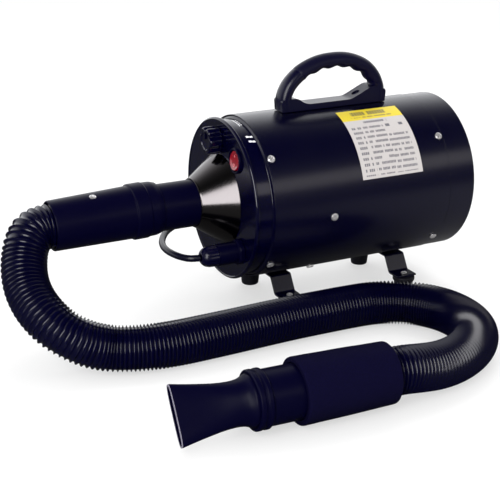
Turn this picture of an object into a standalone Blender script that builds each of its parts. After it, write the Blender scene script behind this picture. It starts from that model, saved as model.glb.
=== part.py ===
"""Pet dryer: a floor-standing blower with its hose, grip, flat nozzle and mains lead.

Part frame: metres, +Z up, floor at z = 0. The body's axis runs along X, with the outlet
towards -X and the air intake towards +X. Lengths below are in millimetres and are turned
into metres as each mesh is made. "Body x" is measured backwards from the front face.
"""
import math

import bmesh
import bpy
from mathutils import Matrix, Vector

MM = 0.001
GAP = 0.3

# Body
AXIS_HEIGHT = 121.0
BODY_RADIUS = 85.0
BODY_LENGTH = 259.5
SHEET = 1.2
SHELL_FRONT = 20.0
SHELL_REAR = 228.0
RIM_RADIUS = 84.5
WAIST_RADIUS = 81.0
SHELL_BORE = BODY_RADIUS - SHEET
FLANGE_RADIUS = SHELL_BORE - GAP

# Outlet
CONE_RADIUS = 48.0
CONE_LENGTH = 33.0
STUB_RADIUS = 24.2
STUB_END = -115.0

# Controls on the front face: (y, z) from the axis
KNOB_AT = (5.5, 61.8)
SWITCH_AT = (-37.0, 50.0)
GLAND_AT = (-45.0, -43.5)
KNOB_RADIUS = 14.5
KNOB_TIP = -15.0
SWITCH_RADIUS = 13.2
ROCKER_RADIUS = 10.4
ROCKER_PIVOT = 1.0
ROCKER_TILT = 8.0
GLAND_TIP = -44.0

# Stand
STAND_AT = (57.0, 199.5)
STAND_WIDTH = 24.0
STAND_SHEET = 2.0
STAND_TOP = -BODY_RADIUS - GAP
PLATE_HALF = 26.5
FLANGE_TOP = -101.5
FOOT_Y = 47.0
FOOT_RADIUS = 10.6

# Fasteners: body x, then angles seen from the front, 0 at the near side, 90 at the top
RING_SCREW_X = (24.8, 222.8)
RING_SCREW_ANGLES = (40.7, 139.3, 220.7, 319.3)
MOTOR_SCREW_X = 87.0
MOTOR_SCREW_ANGLES = (-5.0, -65.0, 185.0, 245.0)
HANDLE_BOLT_X = (76.0, 182.0)

# Motor and fan
CAN_RADIUS = 44.0
CAN_FRONT = 78.0
FAN_FRONT = 150.0
FAN_REAR = 190.0
FAN_RADIUS = 62.0
SHAFT_RADIUS = 4.0

# Hose, grip and nozzle
HOSE_RADIUS = 22.25
CUFF_END = -184.0
CUFF_DROOP = 1.5
CUFF_PIVOT = -98.0
GRIP_AT = (-132.25, -264.0, 30.8)
GRIP_TURN = -2.5
GRIP_TUBE_RADIUS = 24.9
FOAM_RADIUS = 30.3
NOZZLE_TILT = 36.0

# Mains lead
LEAD_RADIUS = 3.5
COIL_AT = (117.75, 138.0)
COIL_INNER = 26.5
COIL_OUTER = 47.5
COIL_HEIGHT = 14.0
PLUG_AT = (167.75, 205.3, 12.4)

FRONT_X = -(STUB_END + BODY_LENGTH) / 2
BODY_AT = (FRONT_X, 0.0, AXIS_HEIGHT)

# Routes of the free stretches, in metres in the part frame, from the machine outwards
HOSE_ROUTE = (
    (-0.2463, 0.0000, 0.1190), (-0.2563, 0.0000, 0.1187), (-0.2650, -0.0010, 0.1184),
    (-0.2740, -0.0040, 0.1162), (-0.2822, -0.0100, 0.1090), (-0.2882, -0.0180, 0.0975),
    (-0.2918, -0.0275, 0.0865), (-0.2932, -0.0385, 0.0760), (-0.2918, -0.0520, 0.0660),
    (-0.2868, -0.0670, 0.0560), (-0.2778, -0.0795, 0.0460), (-0.2652, -0.0880, 0.0370),
    (-0.2502, -0.0930, 0.0292), (-0.2332, -0.0970, 0.0240), (-0.2142, -0.1037, 0.0226),
    (-0.1922, -0.1092, 0.0226), (-0.1682, -0.1113, 0.0226), (-0.1430, -0.1110, 0.0226),
    (-0.1170, -0.1102, 0.0226), (-0.0900, -0.1090, 0.0226), (-0.0630, -0.1078, 0.0226),
    (-0.0355, -0.1072, 0.0226), (-0.0085, -0.1074, 0.0226), (0.0198, -0.1080, 0.0226),
    (0.0468, -0.1105, 0.0226), (0.0660, -0.1172, 0.0226), (0.0820, -0.1275, 0.0226),
    (0.0945, -0.1415, 0.0226), (0.1028, -0.1580, 0.0226), (0.1063, -0.1765, 0.0226),
    (0.1055, -0.1950, 0.0226), (0.1000, -0.2125, 0.0226), (0.0895, -0.2290, 0.0226),
    (0.0750, -0.2425, 0.0226), (0.0580, -0.2530, 0.0227), (0.0395, -0.2605, 0.0232),
    (0.0200, -0.2655, 0.0248), (0.0005, -0.2683, 0.0278), (-0.0180, -0.2690, 0.0303),
    (-0.0330, -0.2683, 0.0308), (-0.0480, -0.2677, 0.0308), (-0.0690, -0.2668, 0.0308),
    (-0.0900, -0.2658, 0.0308),
)
LEAD_ROUTE = (
    (-0.1166, -0.0450, 0.0775), (-0.1243, -0.0430, 0.0774), (-0.1312, -0.0345, 0.0772),
    (-0.1362, -0.0190, 0.0770), (-0.1366, -0.0010, 0.0765), (-0.1318, 0.0180, 0.0760),
    (-0.1222, 0.0370, 0.0757), (-0.1092, 0.0540, 0.0755), (-0.0922, 0.0670, 0.0750),
    (-0.0722, 0.0770, 0.0720), (-0.0522, 0.0850, 0.0640), (-0.0342, 0.0920, 0.0500),
    (-0.0182, 0.0975, 0.0320), (-0.0032, 0.1010, 0.0170), (0.0118, 0.1020, 0.0075),
    (0.0278, 0.1005, 0.0040), (0.0478, 0.0972, 0.0038), (0.0698, 0.0945, 0.0038),
    (0.0924, 0.0940, 0.0038),
)
TAIL_ROUTE = (
    (0.1620, 0.1632, 0.0098), (0.1634, 0.1730, 0.0094), (0.1656, 0.1850, 0.0102),
    (0.1675, 0.1955, 0.0122), (0.16775, 0.2047, 0.0124),
)


# ---------------------------------------------------------------- scene and materials

def clear_scene():
    for existing in list(bpy.data.objects):
        bpy.data.objects.remove(existing, do_unlink=True)


def make_material(name, colour, roughness, metallic=0.0):
    made = bpy.data.materials.new(name)
    made.use_nodes = True
    shader = made.node_tree.nodes["Principled BSDF"]
    shader.inputs["Base Color"].default_value = (*colour, 1.0)
    shader.inputs["Roughness"].default_value = roughness
    shader.inputs["Metallic"].default_value = metallic
    return made


FINISHES = {
    "black_paint": ((0.012, 0.012, 0.018), 0.28, 0.0),
    "black_plastic": ((0.015, 0.015, 0.018), 0.42, 0.0),
    "satin_metal": ((0.05, 0.05, 0.055), 0.3, 0.9),
    "red_plastic": ((0.55, 0.01, 0.02), 0.3, 0.0),
    "rubber": ((0.02, 0.02, 0.022), 0.75, 0.0),
    "foam": ((0.018, 0.019, 0.035), 0.9, 0.0),
    "zinc_steel": ((0.6, 0.6, 0.62), 0.3, 1.0),
    "steel": ((0.45, 0.46, 0.48), 0.35, 1.0),
    "aluminium": ((0.7, 0.71, 0.73), 0.35, 1.0),
    "copper_iron": ((0.35, 0.2, 0.12), 0.45, 0.8),
    "circuit_board": ((0.02, 0.18, 0.07), 0.5, 0.0),
    "brass": ((0.7, 0.5, 0.2), 0.3, 1.0),
}
MATERIALS = {}


def finish(name):
    if name not in MATERIALS:
        MATERIALS[name] = make_material(name, *FINISHES[name])
    return MATERIALS[name]


# ---------------------------------------------------------------- mesh helpers

def place(name, bm, look, location=(0, 0, 0), rotation=(0, 0, 0), sharp=35.0):
    """Turn a bmesh in millimetres into a named object in metres."""
    bmesh.ops.remove_doubles(bm, verts=bm.verts, dist=0.001)
    bmesh.ops.recalc_face_normals(bm, faces=bm.faces)
    bmesh.ops.scale(bm, vec=(MM, MM, MM), verts=bm.verts)
    mesh = bpy.data.meshes.new(name)
    bm.to_mesh(mesh)
    bm.free()
    mesh.materials.append(finish(look))
    mesh.shade_smooth()
    mesh.set_sharp_from_angle(angle=math.radians(sharp))
    made = bpy.data.objects.new(name, mesh)
    made.location = Vector(location) * MM
    made.rotation_euler = [math.radians(angle) for angle in rotation]
    bpy.context.scene.collection.objects.link(made)
    return made


def spun(bm, profile, segments):
    """Spin a closed profile of (x, radius) points about X; a side on the axis makes no faces."""
    verts = [bm.verts.new((x, 0.0, radius)) for x, radius in profile]
    edges = []
    for i, (_, radius) in enumerate(profile):
        k = (i + 1) % len(profile)
        if radius > 0.0 or profile[k][1] > 0.0:
            edges.append(bm.edges.new((verts[i], verts[k])))
    bmesh.ops.spin(bm, geom=verts + edges, cent=(0, 0, 0), axis=(1, 0, 0),
                   angle=2 * math.pi, steps=segments, use_merge=True)


def turned(name, profile, look, segments=32, location=BODY_AT, rotation=(0, 0, 0)):
    bm = bmesh.new()
    spun(bm, profile, segments)
    return place(name, bm, look, location, rotation)


def tube_profile(start, end, outer, inner):
    return [(start, inner), (start, outer), (end, outer), (end, inner)]


def extruded(bm, outline, depth, to_world):
    """Extrude a flat outline along its own third axis, centred on it."""
    verts = [bm.verts.new(to_world @ Vector((u, v, -depth / 2))) for u, v in outline]
    face = bm.faces.new(verts)
    grown = bmesh.ops.extrude_face_region(bm, geom=[face])
    moved = [item for item in grown["geom"] if isinstance(item, bmesh.types.BMVert)]
    shift = to_world.to_3x3() @ Vector((0, 0, depth))
    bmesh.ops.translate(bm, verts=moved, vec=shift)


ALONG_X = Matrix(((0, 0, 1), (1, 0, 0), (0, 1, 0))).to_4x4()
ALONG_Y = Matrix(((1, 0, 0), (0, 0, 1), (0, 1, 0))).to_4x4()


def box(bm, size, centre, turn=None):
    made = bmesh.ops.create_cube(bm, size=1.0)["verts"]
    bmesh.ops.scale(bm, vec=size, verts=made)
    if turn is not None:
        bmesh.ops.rotate(bm, verts=made, matrix=turn)
    bmesh.ops.translate(bm, verts=made, vec=centre)


def rod(bm, start, end, radius, sides=10):
    """A capped straight rod between two points."""
    start, end = Vector(start), Vector(end)
    way = end - start
    turn = way.to_track_quat("Z", "Y").to_matrix().to_4x4()
    middle = Matrix.Translation((start + end) / 2)
    bmesh.ops.create_cone(bm, cap_ends=True, segments=sides, radius1=radius, radius2=radius,
                          depth=way.length, matrix=middle @ turn)


def loft(bm, rings, walled=False):
    """Bridge rings of equal length; walled closes the last ring back onto the first."""
    rows = [[bm.verts.new(point) for point in ring] for ring in rings]
    count = len(rows[0])
    steps = len(rows) if walled else len(rows) - 1
    for i in range(steps):
        near, far = rows[i], rows[(i + 1) % len(rows)]
        for j in range(count):
            k = (j + 1) % count
            bm.faces.new((near[j], near[k], far[k], far[j]))
    if not walled:
        bm.faces.new(rows[0])
        bm.faces.new(rows[-1])


def guide(name, bm, location=BODY_AT, rotation=(0, 0, 0)):
    made = place(name, bm, "black_plastic", location, rotation)
    made.hide_render = True
    made.display_type = "WIRE"
    return made


def combine(target, other, operation):
    modifier = target.modifiers.new(other.name, "BOOLEAN")
    modifier.operation = operation
    modifier.object = other


def radial(angle, radius):
    """(y, z) at an angle from the near side, rising over the top."""
    turn = math.radians(angle)
    return (-radius * math.cos(turn), radius * math.sin(turn))


# ---------------------------------------------------------------- body shell and covers

def ring_screw_places():
    for x in RING_SCREW_X:
        for angle in RING_SCREW_ANGLES:
            yield x, angle


def drills():
    """Clearance holes for every fastener that passes through the shell."""
    bm = bmesh.new()
    for x, angle in ring_screw_places():
        rod(bm, (x, *radial(angle, 76)), (x, *radial(angle, 92)), 2.2, 8)
    for angle in MOTOR_SCREW_ANGLES:
        rod(bm, (MOTOR_SCREW_X, *radial(angle, 72)), (MOTOR_SCREW_X, *radial(angle, 92)), 2.2, 8)
    for x in STAND_AT:
        rod(bm, (x, 0, -75), (x, 0, -95), 3.0, 10)
    for x in HANDLE_BOLT_X:
        rod(bm, (x, 0, 78), (x, 0, 97), 2.6, 10)
    return guide("drills", bm)


def body_shell(drill):
    profile = tube_profile(SHELL_FRONT, SHELL_REAR, BODY_RADIUS, SHELL_BORE)
    shell = turned("body_shell", profile, "black_paint", 48)
    combine(shell, drill, "DIFFERENCE")


def front_cover(drill):
    """Face plate with a thin raised rim, a narrow waist, and a flange inside the shell."""
    profile = [
        (0.0, 38.0), (0.0, 82.2), (-1.0, 82.9), (-1.0, 83.7), (-0.2, RIM_RADIUS),
        (2.8, RIM_RADIUS), (3.6, WAIST_RADIUS), (19.0, WAIST_RADIUS), (20.6, FLANGE_RADIUS),
        (34.0, FLANGE_RADIUS), (34.0, 82.1), (21.4, 82.1), (19.8, 79.6), (3.2, 79.6),
        (1.6, 78.0), (1.6, 38.0),
    ]
    cover = turned("front_cover", profile, "black_paint", 48)
    bm = bmesh.new()
    for (y, z), radius in ((KNOB_AT, 4.3), (SWITCH_AT, 12.9), (GLAND_AT, 8.7)):
        rod(bm, (-4, y, z), (6, y, z), radius, 18)
    combine(cover, guide("face_holes", bm), "DIFFERENCE")
    combine(cover, drill, "DIFFERENCE")


def rear_cover(drill):
    """Ring behind the shell, with a lip that holds the intake grille."""
    end = BODY_LENGTH
    profile = [
        (215.0, FLANGE_RADIUS), (SHELL_REAR + GAP, FLANGE_RADIUS), (SHELL_REAR + GAP, RIM_RADIUS),
        (end - 1.0, RIM_RADIUS), (end, RIM_RADIUS - 1.0), (end, 73.5), (end - 1.4, 73.5),
        (end - 1.4, 82.8), (231.0, 82.8), (229.0, 82.0), (215.0, 82.0),
    ]
    cover = turned("rear_cover", profile, "black_paint", 48)
    combine(cover, drill, "DIFFERENCE")


def intake_grille():
    """Slotted disc: rings and ribs around a plain hub."""
    radii = (14.0, 28.0, 32.0, 46.0, 50.0, 64.0, 68.0, 72.4, 81.8)
    slot_rings = (0, 2, 4, 6)
    sectors = 18
    bm = bmesh.new()
    hub = bm.verts.new((0, 0, 0))
    rows = []
    for radius in radii:
        row = []
        for k in range(2 * sectors):
            rib = 0.5 * 2.2 / radius
            centre = 2 * math.pi * (k // 2) / sectors
            turn = centre + (rib if k % 2 else -rib)
            row.append(bm.verts.new((0, radius * math.cos(turn), radius * math.sin(turn))))
        rows.append(row)
    count = 2 * sectors
    for k in range(count):
        bm.faces.new((hub, rows[0][k], rows[0][(k + 1) % count]))
    for ring in range(len(radii) - 1):
        for k in range(count):
            open_slot = ring in slot_rings and k % 2 == 1
            if not open_slot:
                m = (k + 1) % count
                bm.faces.new((rows[ring][k], rows[ring][m], rows[ring + 1][m], rows[ring + 1][k]))
    grown = bmesh.ops.extrude_face_region(bm, geom=list(bm.faces))
    moved = [item for item in grown["geom"] if isinstance(item, bmesh.types.BMVert)]
    bmesh.ops.translate(bm, verts=moved, vec=(2.0, 0, 0))
    front = BODY_LENGTH - 1.4 - GAP - 2.0
    place("intake_grille", bm, "black_plastic", (FRONT_X + front, 0, AXIS_HEIGHT))


def filter_foam():
    front = BODY_LENGTH - 16.0
    profile = [(front, 0.0), (front, 81.5), (front + 11.5, 81.5), (front + 11.5, 0.0)]
    turned("filter_foam", profile, "foam", 24)


# ---------------------------------------------------------------- outlet

def outlet_cone():
    tip = -CONE_LENGTH
    profile = [
        (-GAP, CONE_RADIUS), (tip + 1.0, 25.9), (tip, 25.5), (tip, STUB_RADIUS + GAP),
        (-GAP, CONE_RADIUS - 1.6),
    ]
    turned("outlet_cone", profile, "satin_metal", 40)


def outlet_stub():
    profile = tube_profile(STUB_END, -26.0, STUB_RADIUS, STUB_RADIUS - 1.4)
    turned("outlet_stub", profile, "black_paint", 32)


# ---------------------------------------------------------------- motor and fan

def motor_housing():
    """Motor can in front, wider fan casing behind, parted by a plate with the rear bearing."""
    profile = [
        (CAN_FRONT, 11.3), (CAN_FRONT, CAN_RADIUS), (FAN_FRONT, CAN_RADIUS),
        (FAN_FRONT, FAN_RADIUS), (FAN_REAR, FAN_RADIUS), (FAN_REAR, 22.0),
        (FAN_REAR - 2, 22.0), (FAN_REAR - 2, FAN_RADIUS - 2), (FAN_FRONT + 2, FAN_RADIUS - 2),
        (FAN_FRONT + 2, 11.3), (FAN_FRONT - 2, 11.3), (FAN_FRONT - 2, CAN_RADIUS - 2),
        (CAN_FRONT + 2, CAN_RADIUS - 2), (CAN_FRONT + 2, 11.3),
    ]
    housing = turned("motor_housing", profile, "steel", 24)
    bm = bmesh.new()
    for k in range(6):
        y, z = radial(60 * k, 28)
        rod(bm, (CAN_FRONT - 3, y, z), (CAN_FRONT + 5, y, z), 7.5, 8)
        rod(bm, (FAN_FRONT - 4, y, z), (FAN_FRONT + 4, y, z), 6.5, 8)
    combine(housing, guide("housing_vents", bm), "DIFFERENCE")


def motor_mount(drill):
    """Rubber-faced ring that centres the motor can in the shell."""
    profile = tube_profile(81.0, 93.0, FLANGE_RADIUS, CAN_RADIUS + 2 * GAP)
    mount = turned("motor_mount", profile, "rubber", 48)
    combine(mount, drill, "DIFFERENCE")


def bearings():
    for name, x in (("bearing_front", CAN_FRONT - 2.5), ("bearing_rear", FAN_FRONT - 3.5)):
        profile = tube_profile(x, x + 7.0, 11.0, SHAFT_RADIUS + GAP)
        turned(name, profile, "steel", 16)


def rotor():
    """Shaft with its commutator and wound armature, turned as one piece."""
    profile = [
        (70.0, 0.0), (70.0, SHAFT_RADIUS), (88.0, SHAFT_RADIUS), (88.0, 12.0), (98.0, 12.0),
        (98.0, 8.0), (101.0, 8.0), (103.0, 20.0), (106.0, 26.0), (132.0, 26.0),
        (135.0, 20.0), (138.0, 8.0), (138.0, SHAFT_RADIUS), (184.0, SHAFT_RADIUS), (184.0, 0.0),
    ]
    turned("rotor", profile, "copper_iron", 16)


def impeller():
    """Back plate, hub and nine swept-back blades that throw air outwards."""
    hub_bore = SHAFT_RADIUS + GAP
    plate, blade_end = 158.0, 172.0
    profile = [
        (plate, hub_bore), (plate, 56.0), (plate + 2, 56.0), (plate + 2, 11.0),
        (blade_end + 4, 9.0), (blade_end + 4, hub_bore),
    ]
    wheel = turned("impeller", profile, "aluminium", 27)
    bm = bmesh.new()
    for k in range(9):
        rings = []
        for step in range(5):
            share = step / 4
            radius = 15 + 39 * share
            turn = math.radians(40 * k + 38 * share)
            across = Vector((0, -math.sin(turn), math.cos(turn))) * 0.8
            middle = Vector((0, radius * math.cos(turn), radius * math.sin(turn)))
            low, high = Vector((plate + 1, 0, 0)), Vector((blade_end, 0, 0))
            rings.append([middle + low - across, middle + low + across,
                          middle + high + across, middle + high - across])
        loft(bm, rings)
    combine(wheel, guide("blades", bm), "UNION")


# ---------------------------------------------------------------- controls

def speed_control():
    """Potentiometer behind the face; its shaft reaches into the knob."""
    profile = [
        (16.0, 0.0), (16.0, 12.0), (3.0, 12.0), (3.0, 3.9), (-5.0, 3.9), (-5.0, 3.0),
        (-11.0, 3.0), (-11.0, 0.0),
    ]
    y, z = KNOB_AT
    turned("speed_control", profile, "aluminium", 20, (FRONT_X, y, AXIS_HEIGHT + z))


def speed_board():
    """Speed-control circuit board carried on the back of the potentiometer."""
    y, z = KNOB_AT
    bm = bmesh.new()
    box(bm, (1.6, 46, 34), (17.1, y, z - 10))
    board = place("speed_board", bm, "circuit_board", BODY_AT)
    parts = bmesh.new()
    box(parts, (14, 12, 10), (24.5, y - 12, z - 18))
    box(parts, (9, 10, 14), (22.0, y + 10, z - 14))
    box(parts, (18, 3, 15), (26.5, y, z - 2))
    combine(board, guide("board_parts", parts), "UNION")


def speed_knob():
    """Six-lobed knob with a raised cap, bored for the control's shaft."""
    bm = bmesh.new()
    rings = []
    for x, scale in ((-1.2, 0.98), (-2.0, 1.0), (-12.5, 1.0), (-14.2, 0.93), (KNOB_TIP, 0.8)):
        ring = []
        for k in range(36):
            turn = 2 * math.pi * k / 36
            radius = scale * (KNOB_RADIUS - 2.0 * (0.5 - 0.5 * math.cos(6 * turn)) ** 1.5)
            ring.append(Vector((x, radius * math.cos(turn), radius * math.sin(turn))))
        rings.append(ring)
    loft(bm, rings)
    y, z = KNOB_AT
    at = (FRONT_X, y, AXIS_HEIGHT + z)
    knob = place("speed_knob", bm, "black_plastic", at)
    bore = bmesh.new()
    spun(bore, [(-12.0, 0.0), (-12.0, 3.3), (-5.6, 3.3), (-5.6, 4.4), (3.0, 4.4), (3.0, 0.0)], 16)
    combine(knob, guide("knob_bore", bore, at), "DIFFERENCE")


def switch():
    """Round rocker switch: bezel and barrel in one, and the rocker that tips inside it."""
    y, z = SWITCH_AT
    at = (FRONT_X, y, AXIS_HEIGHT + z)
    body = [
        (-2.2, 10.9), (-3.0, 11.6), (-2.2, SWITCH_RADIUS), (-GAP, SWITCH_RADIUS),
        (-GAP, 12.4), (22.0, 12.4), (22.0, 0.0), (9.0, 0.0), (9.0, 10.9),
    ]
    turned("switch_body", body, "black_plastic", 28, at)

    bm = bmesh.new()
    rings = []
    for x in (4.5, 2.5, 0.0, -2.0, -3.6):
        reach = math.sqrt(ROCKER_RADIUS ** 2 - x * x) - 0.05
        rings.append([Vector((x, reach * math.cos(t), reach * math.sin(t)))
                      for t in (2 * math.pi * k / 24 for k in range(24))])
    dip = [Vector((-3.6 + 1.1 * (1 - abs(p.z) / 9.8), 0.86 * p.y, 0.86 * p.z)) for p in rings[-1]]
    rings.append(dip)
    loft(bm, rings)
    at = (FRONT_X + ROCKER_PIVOT, y, AXIS_HEIGHT + z)
    place("switch_rocker", bm, "red_plastic", at, (0, ROCKER_TILT, 0))


def gland():
    """Cable gland: flanged body through the face, and its domed clamping nut."""
    y, z = GLAND_AT
    at = (FRONT_X, y, AXIS_HEIGHT + z)
    body = [
        (12.0, 4.2), (12.0, 8.2), (-GAP, 8.2), (-GAP, 13.5), (-4.2, 13.5), (-5.4, 12.6),
        (-5.4, 11.3), (-27.0, 11.3), (-27.0, 4.2),
    ]
    turned("gland_body", body, "black_plastic", 18, at)
    nut = [
        (-27.3, 3.9), (-27.3, 11.0), (-36.5, 10.7), (-40.6, 9.2), (-43.2, 6.8),
        (GLAND_TIP, 5.0), (GLAND_TIP, 3.9),
    ]
    turned("gland_nut", nut, "black_plastic", 18, at)


# ---------------------------------------------------------------- handle

ARCH = (
    (73.0, 88.0), (72.3, 98.0), (76.5, 108.7), (86.5, 119.5), (101.0, 127.8), (115.0, 132.0),
    (129.0, 133.3), (143.0, 132.6), (157.0, 128.8), (169.5, 122.0), (179.0, 111.5),
    (184.3, 98.5), (184.0, 88.0),
)
GRIP_SPAN = (0.235, 0.89)
FINGER_PITCH = 19.0


def smooth_route(points, spacing):
    """Points at equal steps along a smooth curve through the given ones."""
    knots = [Vector(p) for p in points]
    size = len(knots)
    lengths = [(knots[i + 1] - knots[i]).length for i in range(size - 1)]
    slopes = []
    for i in range(size):
        before = (knots[i] - knots[i - 1]) / lengths[i - 1] if i > 0 else None
        after = (knots[i + 1] - knots[i]) / lengths[i] if i < size - 1 else None
        if before is None or after is None:
            slopes.append((after or before).copy())
        else:
            share = lengths[i - 1] / (lengths[i - 1] + lengths[i])
            slopes.append(before * (1 - share) + after * share)
    fine = [knots[0]]
    for i in range(size - 1):
        for step in range(1, 13):
            t = step / 12
            h00 = (1 + 2 * t) * (1 - t) ** 2
            h10 = t * (1 - t) ** 2
            h01 = t * t * (3 - 2 * t)
            h11 = t * t * (t - 1)
            fine.append(knots[i] * h00 + slopes[i] * (h10 * lengths[i])
                        + knots[i + 1] * h01 + slopes[i + 1] * (h11 * lengths[i]))
    travelled = [0.0]
    for a, b in zip(fine, fine[1:]):
        travelled.append(travelled[-1] + (b - a).length)
    count = max(2, round(travelled[-1] / spacing))
    spread, at = [], 0
    for k in range(count + 1):
        want = travelled[-1] * k / count
        while at < len(fine) - 2 and travelled[at + 1] < want:
            at += 1
        share = (want - travelled[at]) / (travelled[at + 1] - travelled[at])
        spread.append(fine[at].lerp(fine[at + 1], min(1.0, share)))
    return spread


def arch_rings(path, first, last, width, outward, inward, sides=14):
    """Oval sections square to the arch; outward and inward thickness may vary along it."""
    rings = []
    for i in range(first, last + 1):
        ahead, behind = path[min(i + 1, len(path) - 1)], path[max(i - 1, 0)]
        way = (ahead - behind).normalized()
        up = Vector((-way.z, 0, way.x))
        ring = []
        for k in range(sides):
            turn = 2 * math.pi * k / sides
            thick = outward(i) if math.sin(turn) >= 0 else inward(i)
            side = Vector((0, width(i) * math.cos(turn), 0))
            ring.append(path[i] + side + up * (thick * math.sin(turn)))
        rings.append(ring)
    return rings


def handle():
    """Closed handle: base with gussets and arch in hard plastic, and a finger-grooved grip."""
    path = smooth_route([(x, 0.0, z) for x, z in ARCH], 6.0)
    last = len(path) - 1
    grip_from, grip_to = round(GRIP_SPAN[0] * last), round(GRIP_SPAN[1] * last)

    def core(i):
        return grip_from <= i <= grip_to

    def frame_width(i):
        return 8.0 if core(i) else 10.0

    def frame_thick(i):
        return 5.5 if core(i) else 7.7

    bm = bmesh.new()
    loft(bm, arch_rings(path, 0, last, frame_width, frame_thick, frame_thick))
    frame = place("handle_frame", bm, "black_plastic", BODY_AT)
    base = bmesh.new()
    low = BODY_RADIUS + GAP
    outline = [
        (66.5, low), (190.5, low), (191.6, 98.0), (176.5, 104.0), (168.0, 100.3),
        (158.0, 95.4), (149.0, 91.4), (97.0, 91.4), (90.5, 93.6), (83.0, 99.0), (65.6, 98.0),
    ]
    extruded(base, outline, 19.0, ALONG_Y)
    combine(frame, guide("handle_base", base), "UNION")
    pilots = bmesh.new()
    for x in HANDLE_BOLT_X:
        rod(pilots, (x, 0, low - 4), (x, 0, 96.5), 2.4, 10)
    combine(frame, guide("handle_pilots", pilots), "DIFFERENCE")

    def outside(_):
        return 7.8

    def grooved(i):
        along = 6.0 * (i - grip_from)
        return 7.4 + 1.0 * math.cos(2 * math.pi * along / FINGER_PITCH)

    def hollow(wall):
        return lambda _: wall

    bm = bmesh.new()
    first, final = grip_from, grip_to
    outer = arch_rings(path, first, final, lambda _: 10.2, outside, grooved)
    inner = arch_rings(path, first, final, hollow(8.0 + GAP), hollow(5.5 + GAP), hollow(5.5 + GAP))
    trim_ends(outer, 1.0)
    trim_ends(inner, 1.0)
    loft(bm, outer + inner[::-1], walled=True)
    place("handle_grip", bm, "rubber", BODY_AT)

    for name, x in zip(("handle_bolt_front", "handle_bolt_rear"), HANDLE_BOLT_X):
        profile = [(0.0, 0.0), (0.0, 4.5), (3.0, 4.5), (3.0, 2.0), (15.4, 2.0), (15.4, 0.0)]
        head = SHELL_BORE - 2 * GAP - 3.0
        turned(name, profile, "zinc_steel", 12, (FRONT_X + x, 0, AXIS_HEIGHT + head), (0, -90, 0))


def trim_ends(rings, amount):
    """Pull the two end rings inwards along the sweep, so that the sleeve clears the frame."""
    for end, beside in ((0, 1), (-1, -2)):
        centre = sum(rings[end], Vector()) / len(rings[end])
        inward = (sum(rings[beside], Vector()) / len(rings[beside]) - centre).normalized()
        rings[end] = [point + inward * amount for point in rings[end]]


# ---------------------------------------------------------------- stand

def stand_outline():
    """Half-round-bent strip seen along the body: plate, splayed legs and foot flanges."""
    knee, toe = 36.5, 53.5
    top, flange = STAND_TOP, FLANGE_TOP
    t = STAND_SHEET
    half = [(PLATE_HALF, top), (knee, flange), (toe, flange), (toe, flange - t),
            (knee - 1.3, flange - t), (PLATE_HALF - 1.3, top - t)]
    mirrored = [(-y, z) for y, z in half]
    return half + mirrored[::-1]


def stand():
    for name, x in zip(("stand_front", "stand_rear"), STAND_AT):
        bm = bmesh.new()
        extruded(bm, stand_outline(), STAND_WIDTH, ALONG_X)
        at = (FRONT_X + x, 0, AXIS_HEIGHT)
        bracket = place(name, bm, "black_paint", at, sharp=25)
        holes = bmesh.new()
        rod(holes, (0, 0, -80), (0, 0, -92), 2.8, 12)
        for side in (-1, 1):
            rod(holes, (0, side * FOOT_Y, -96), (0, side * FOOT_Y, -108), 2.4, 12)
        combine(bracket, guide(name + "_holes", holes, at), "DIFFERENCE")
        bolt = [(0.0, 0.0), (0.0, 4.6), (3.4, 4.6), (3.4, 2.4), (12.0, 2.4), (12.0, 0.0)]
        low = STAND_TOP - STAND_SHEET - GAP - 3.4
        turned(name.replace("stand", "stand_bolt"), bolt, "zinc_steel", 12,
               (FRONT_X + x, 0, AXIS_HEIGHT + low), (0, -90, 0))


def feet():
    """Tapered rubber feet, each held by a screw from above."""
    height = AXIS_HEIGHT + FLANGE_TOP - STAND_SHEET - GAP
    foot = [
        (height, 2.3), (height, 11.4), (height - 1.0, 12.0), (height - 4.2, 12.0),
        (height - 5.4, FOOT_RADIUS), (1.0, 9.4), (0.0, 8.4), (0.0, 0.0), (5.0, 0.0), (5.0, 2.3),
    ]
    screw = [(0.0, 0.0), (0.0, 1.9), (12.0, 1.9), (12.0, 3.3), (13.0, 3.0), (13.9, 1.8),
             (13.9, 0.0)]
    for x, end in zip(STAND_AT, ("front", "rear")):
        for y, side in ((-FOOT_Y, "near"), (FOOT_Y, "far")):
            turned(f"foot_{end}_{side}", foot, "rubber", 16, (FRONT_X + x, y, 0), (0, -90, 0))
            low = AXIS_HEIGHT + FLANGE_TOP + GAP - 12.0
            turned(f"foot_screw_{end}_{side}", screw, "zinc_steel", 8,
                   (FRONT_X + x, y, low), (0, -90, 0))


# ---------------------------------------------------------------- screws in the shell

def shell_screws():
    """Domed screws, heads just off the shell, shanks through their clearance holes."""
    profile = [(0.0, 0.0), (0.0, 1.8), (7.0, 1.8), (7.0, 3.9), (8.0, 3.6), (8.9, 2.2),
               (8.9, 0.0)]
    under_head = BODY_RADIUS + GAP
    places = []
    for end, x in zip(("front", "rear"), RING_SCREW_X):
        for k, angle in enumerate(RING_SCREW_ANGLES):
            places.append((f"{end}_screw_{k + 1}", x, angle))
    for k, angle in enumerate(MOTOR_SCREW_ANGLES):
        places.append((f"motor_screw_{k + 1}", MOTOR_SCREW_X, angle))
    for name, x, angle in places:
        y, z = radial(angle, under_head - 7.0)
        outward = Vector((0, *radial(angle, 1.0)))
        turn = [math.degrees(v) for v in outward.to_track_quat("X", "Z").to_euler()]
        turned(name, profile, "zinc_steel", 8, (FRONT_X + x, y, AXIS_HEIGHT + z), turn)


# ---------------------------------------------------------------- hose, grip and nozzle

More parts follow.
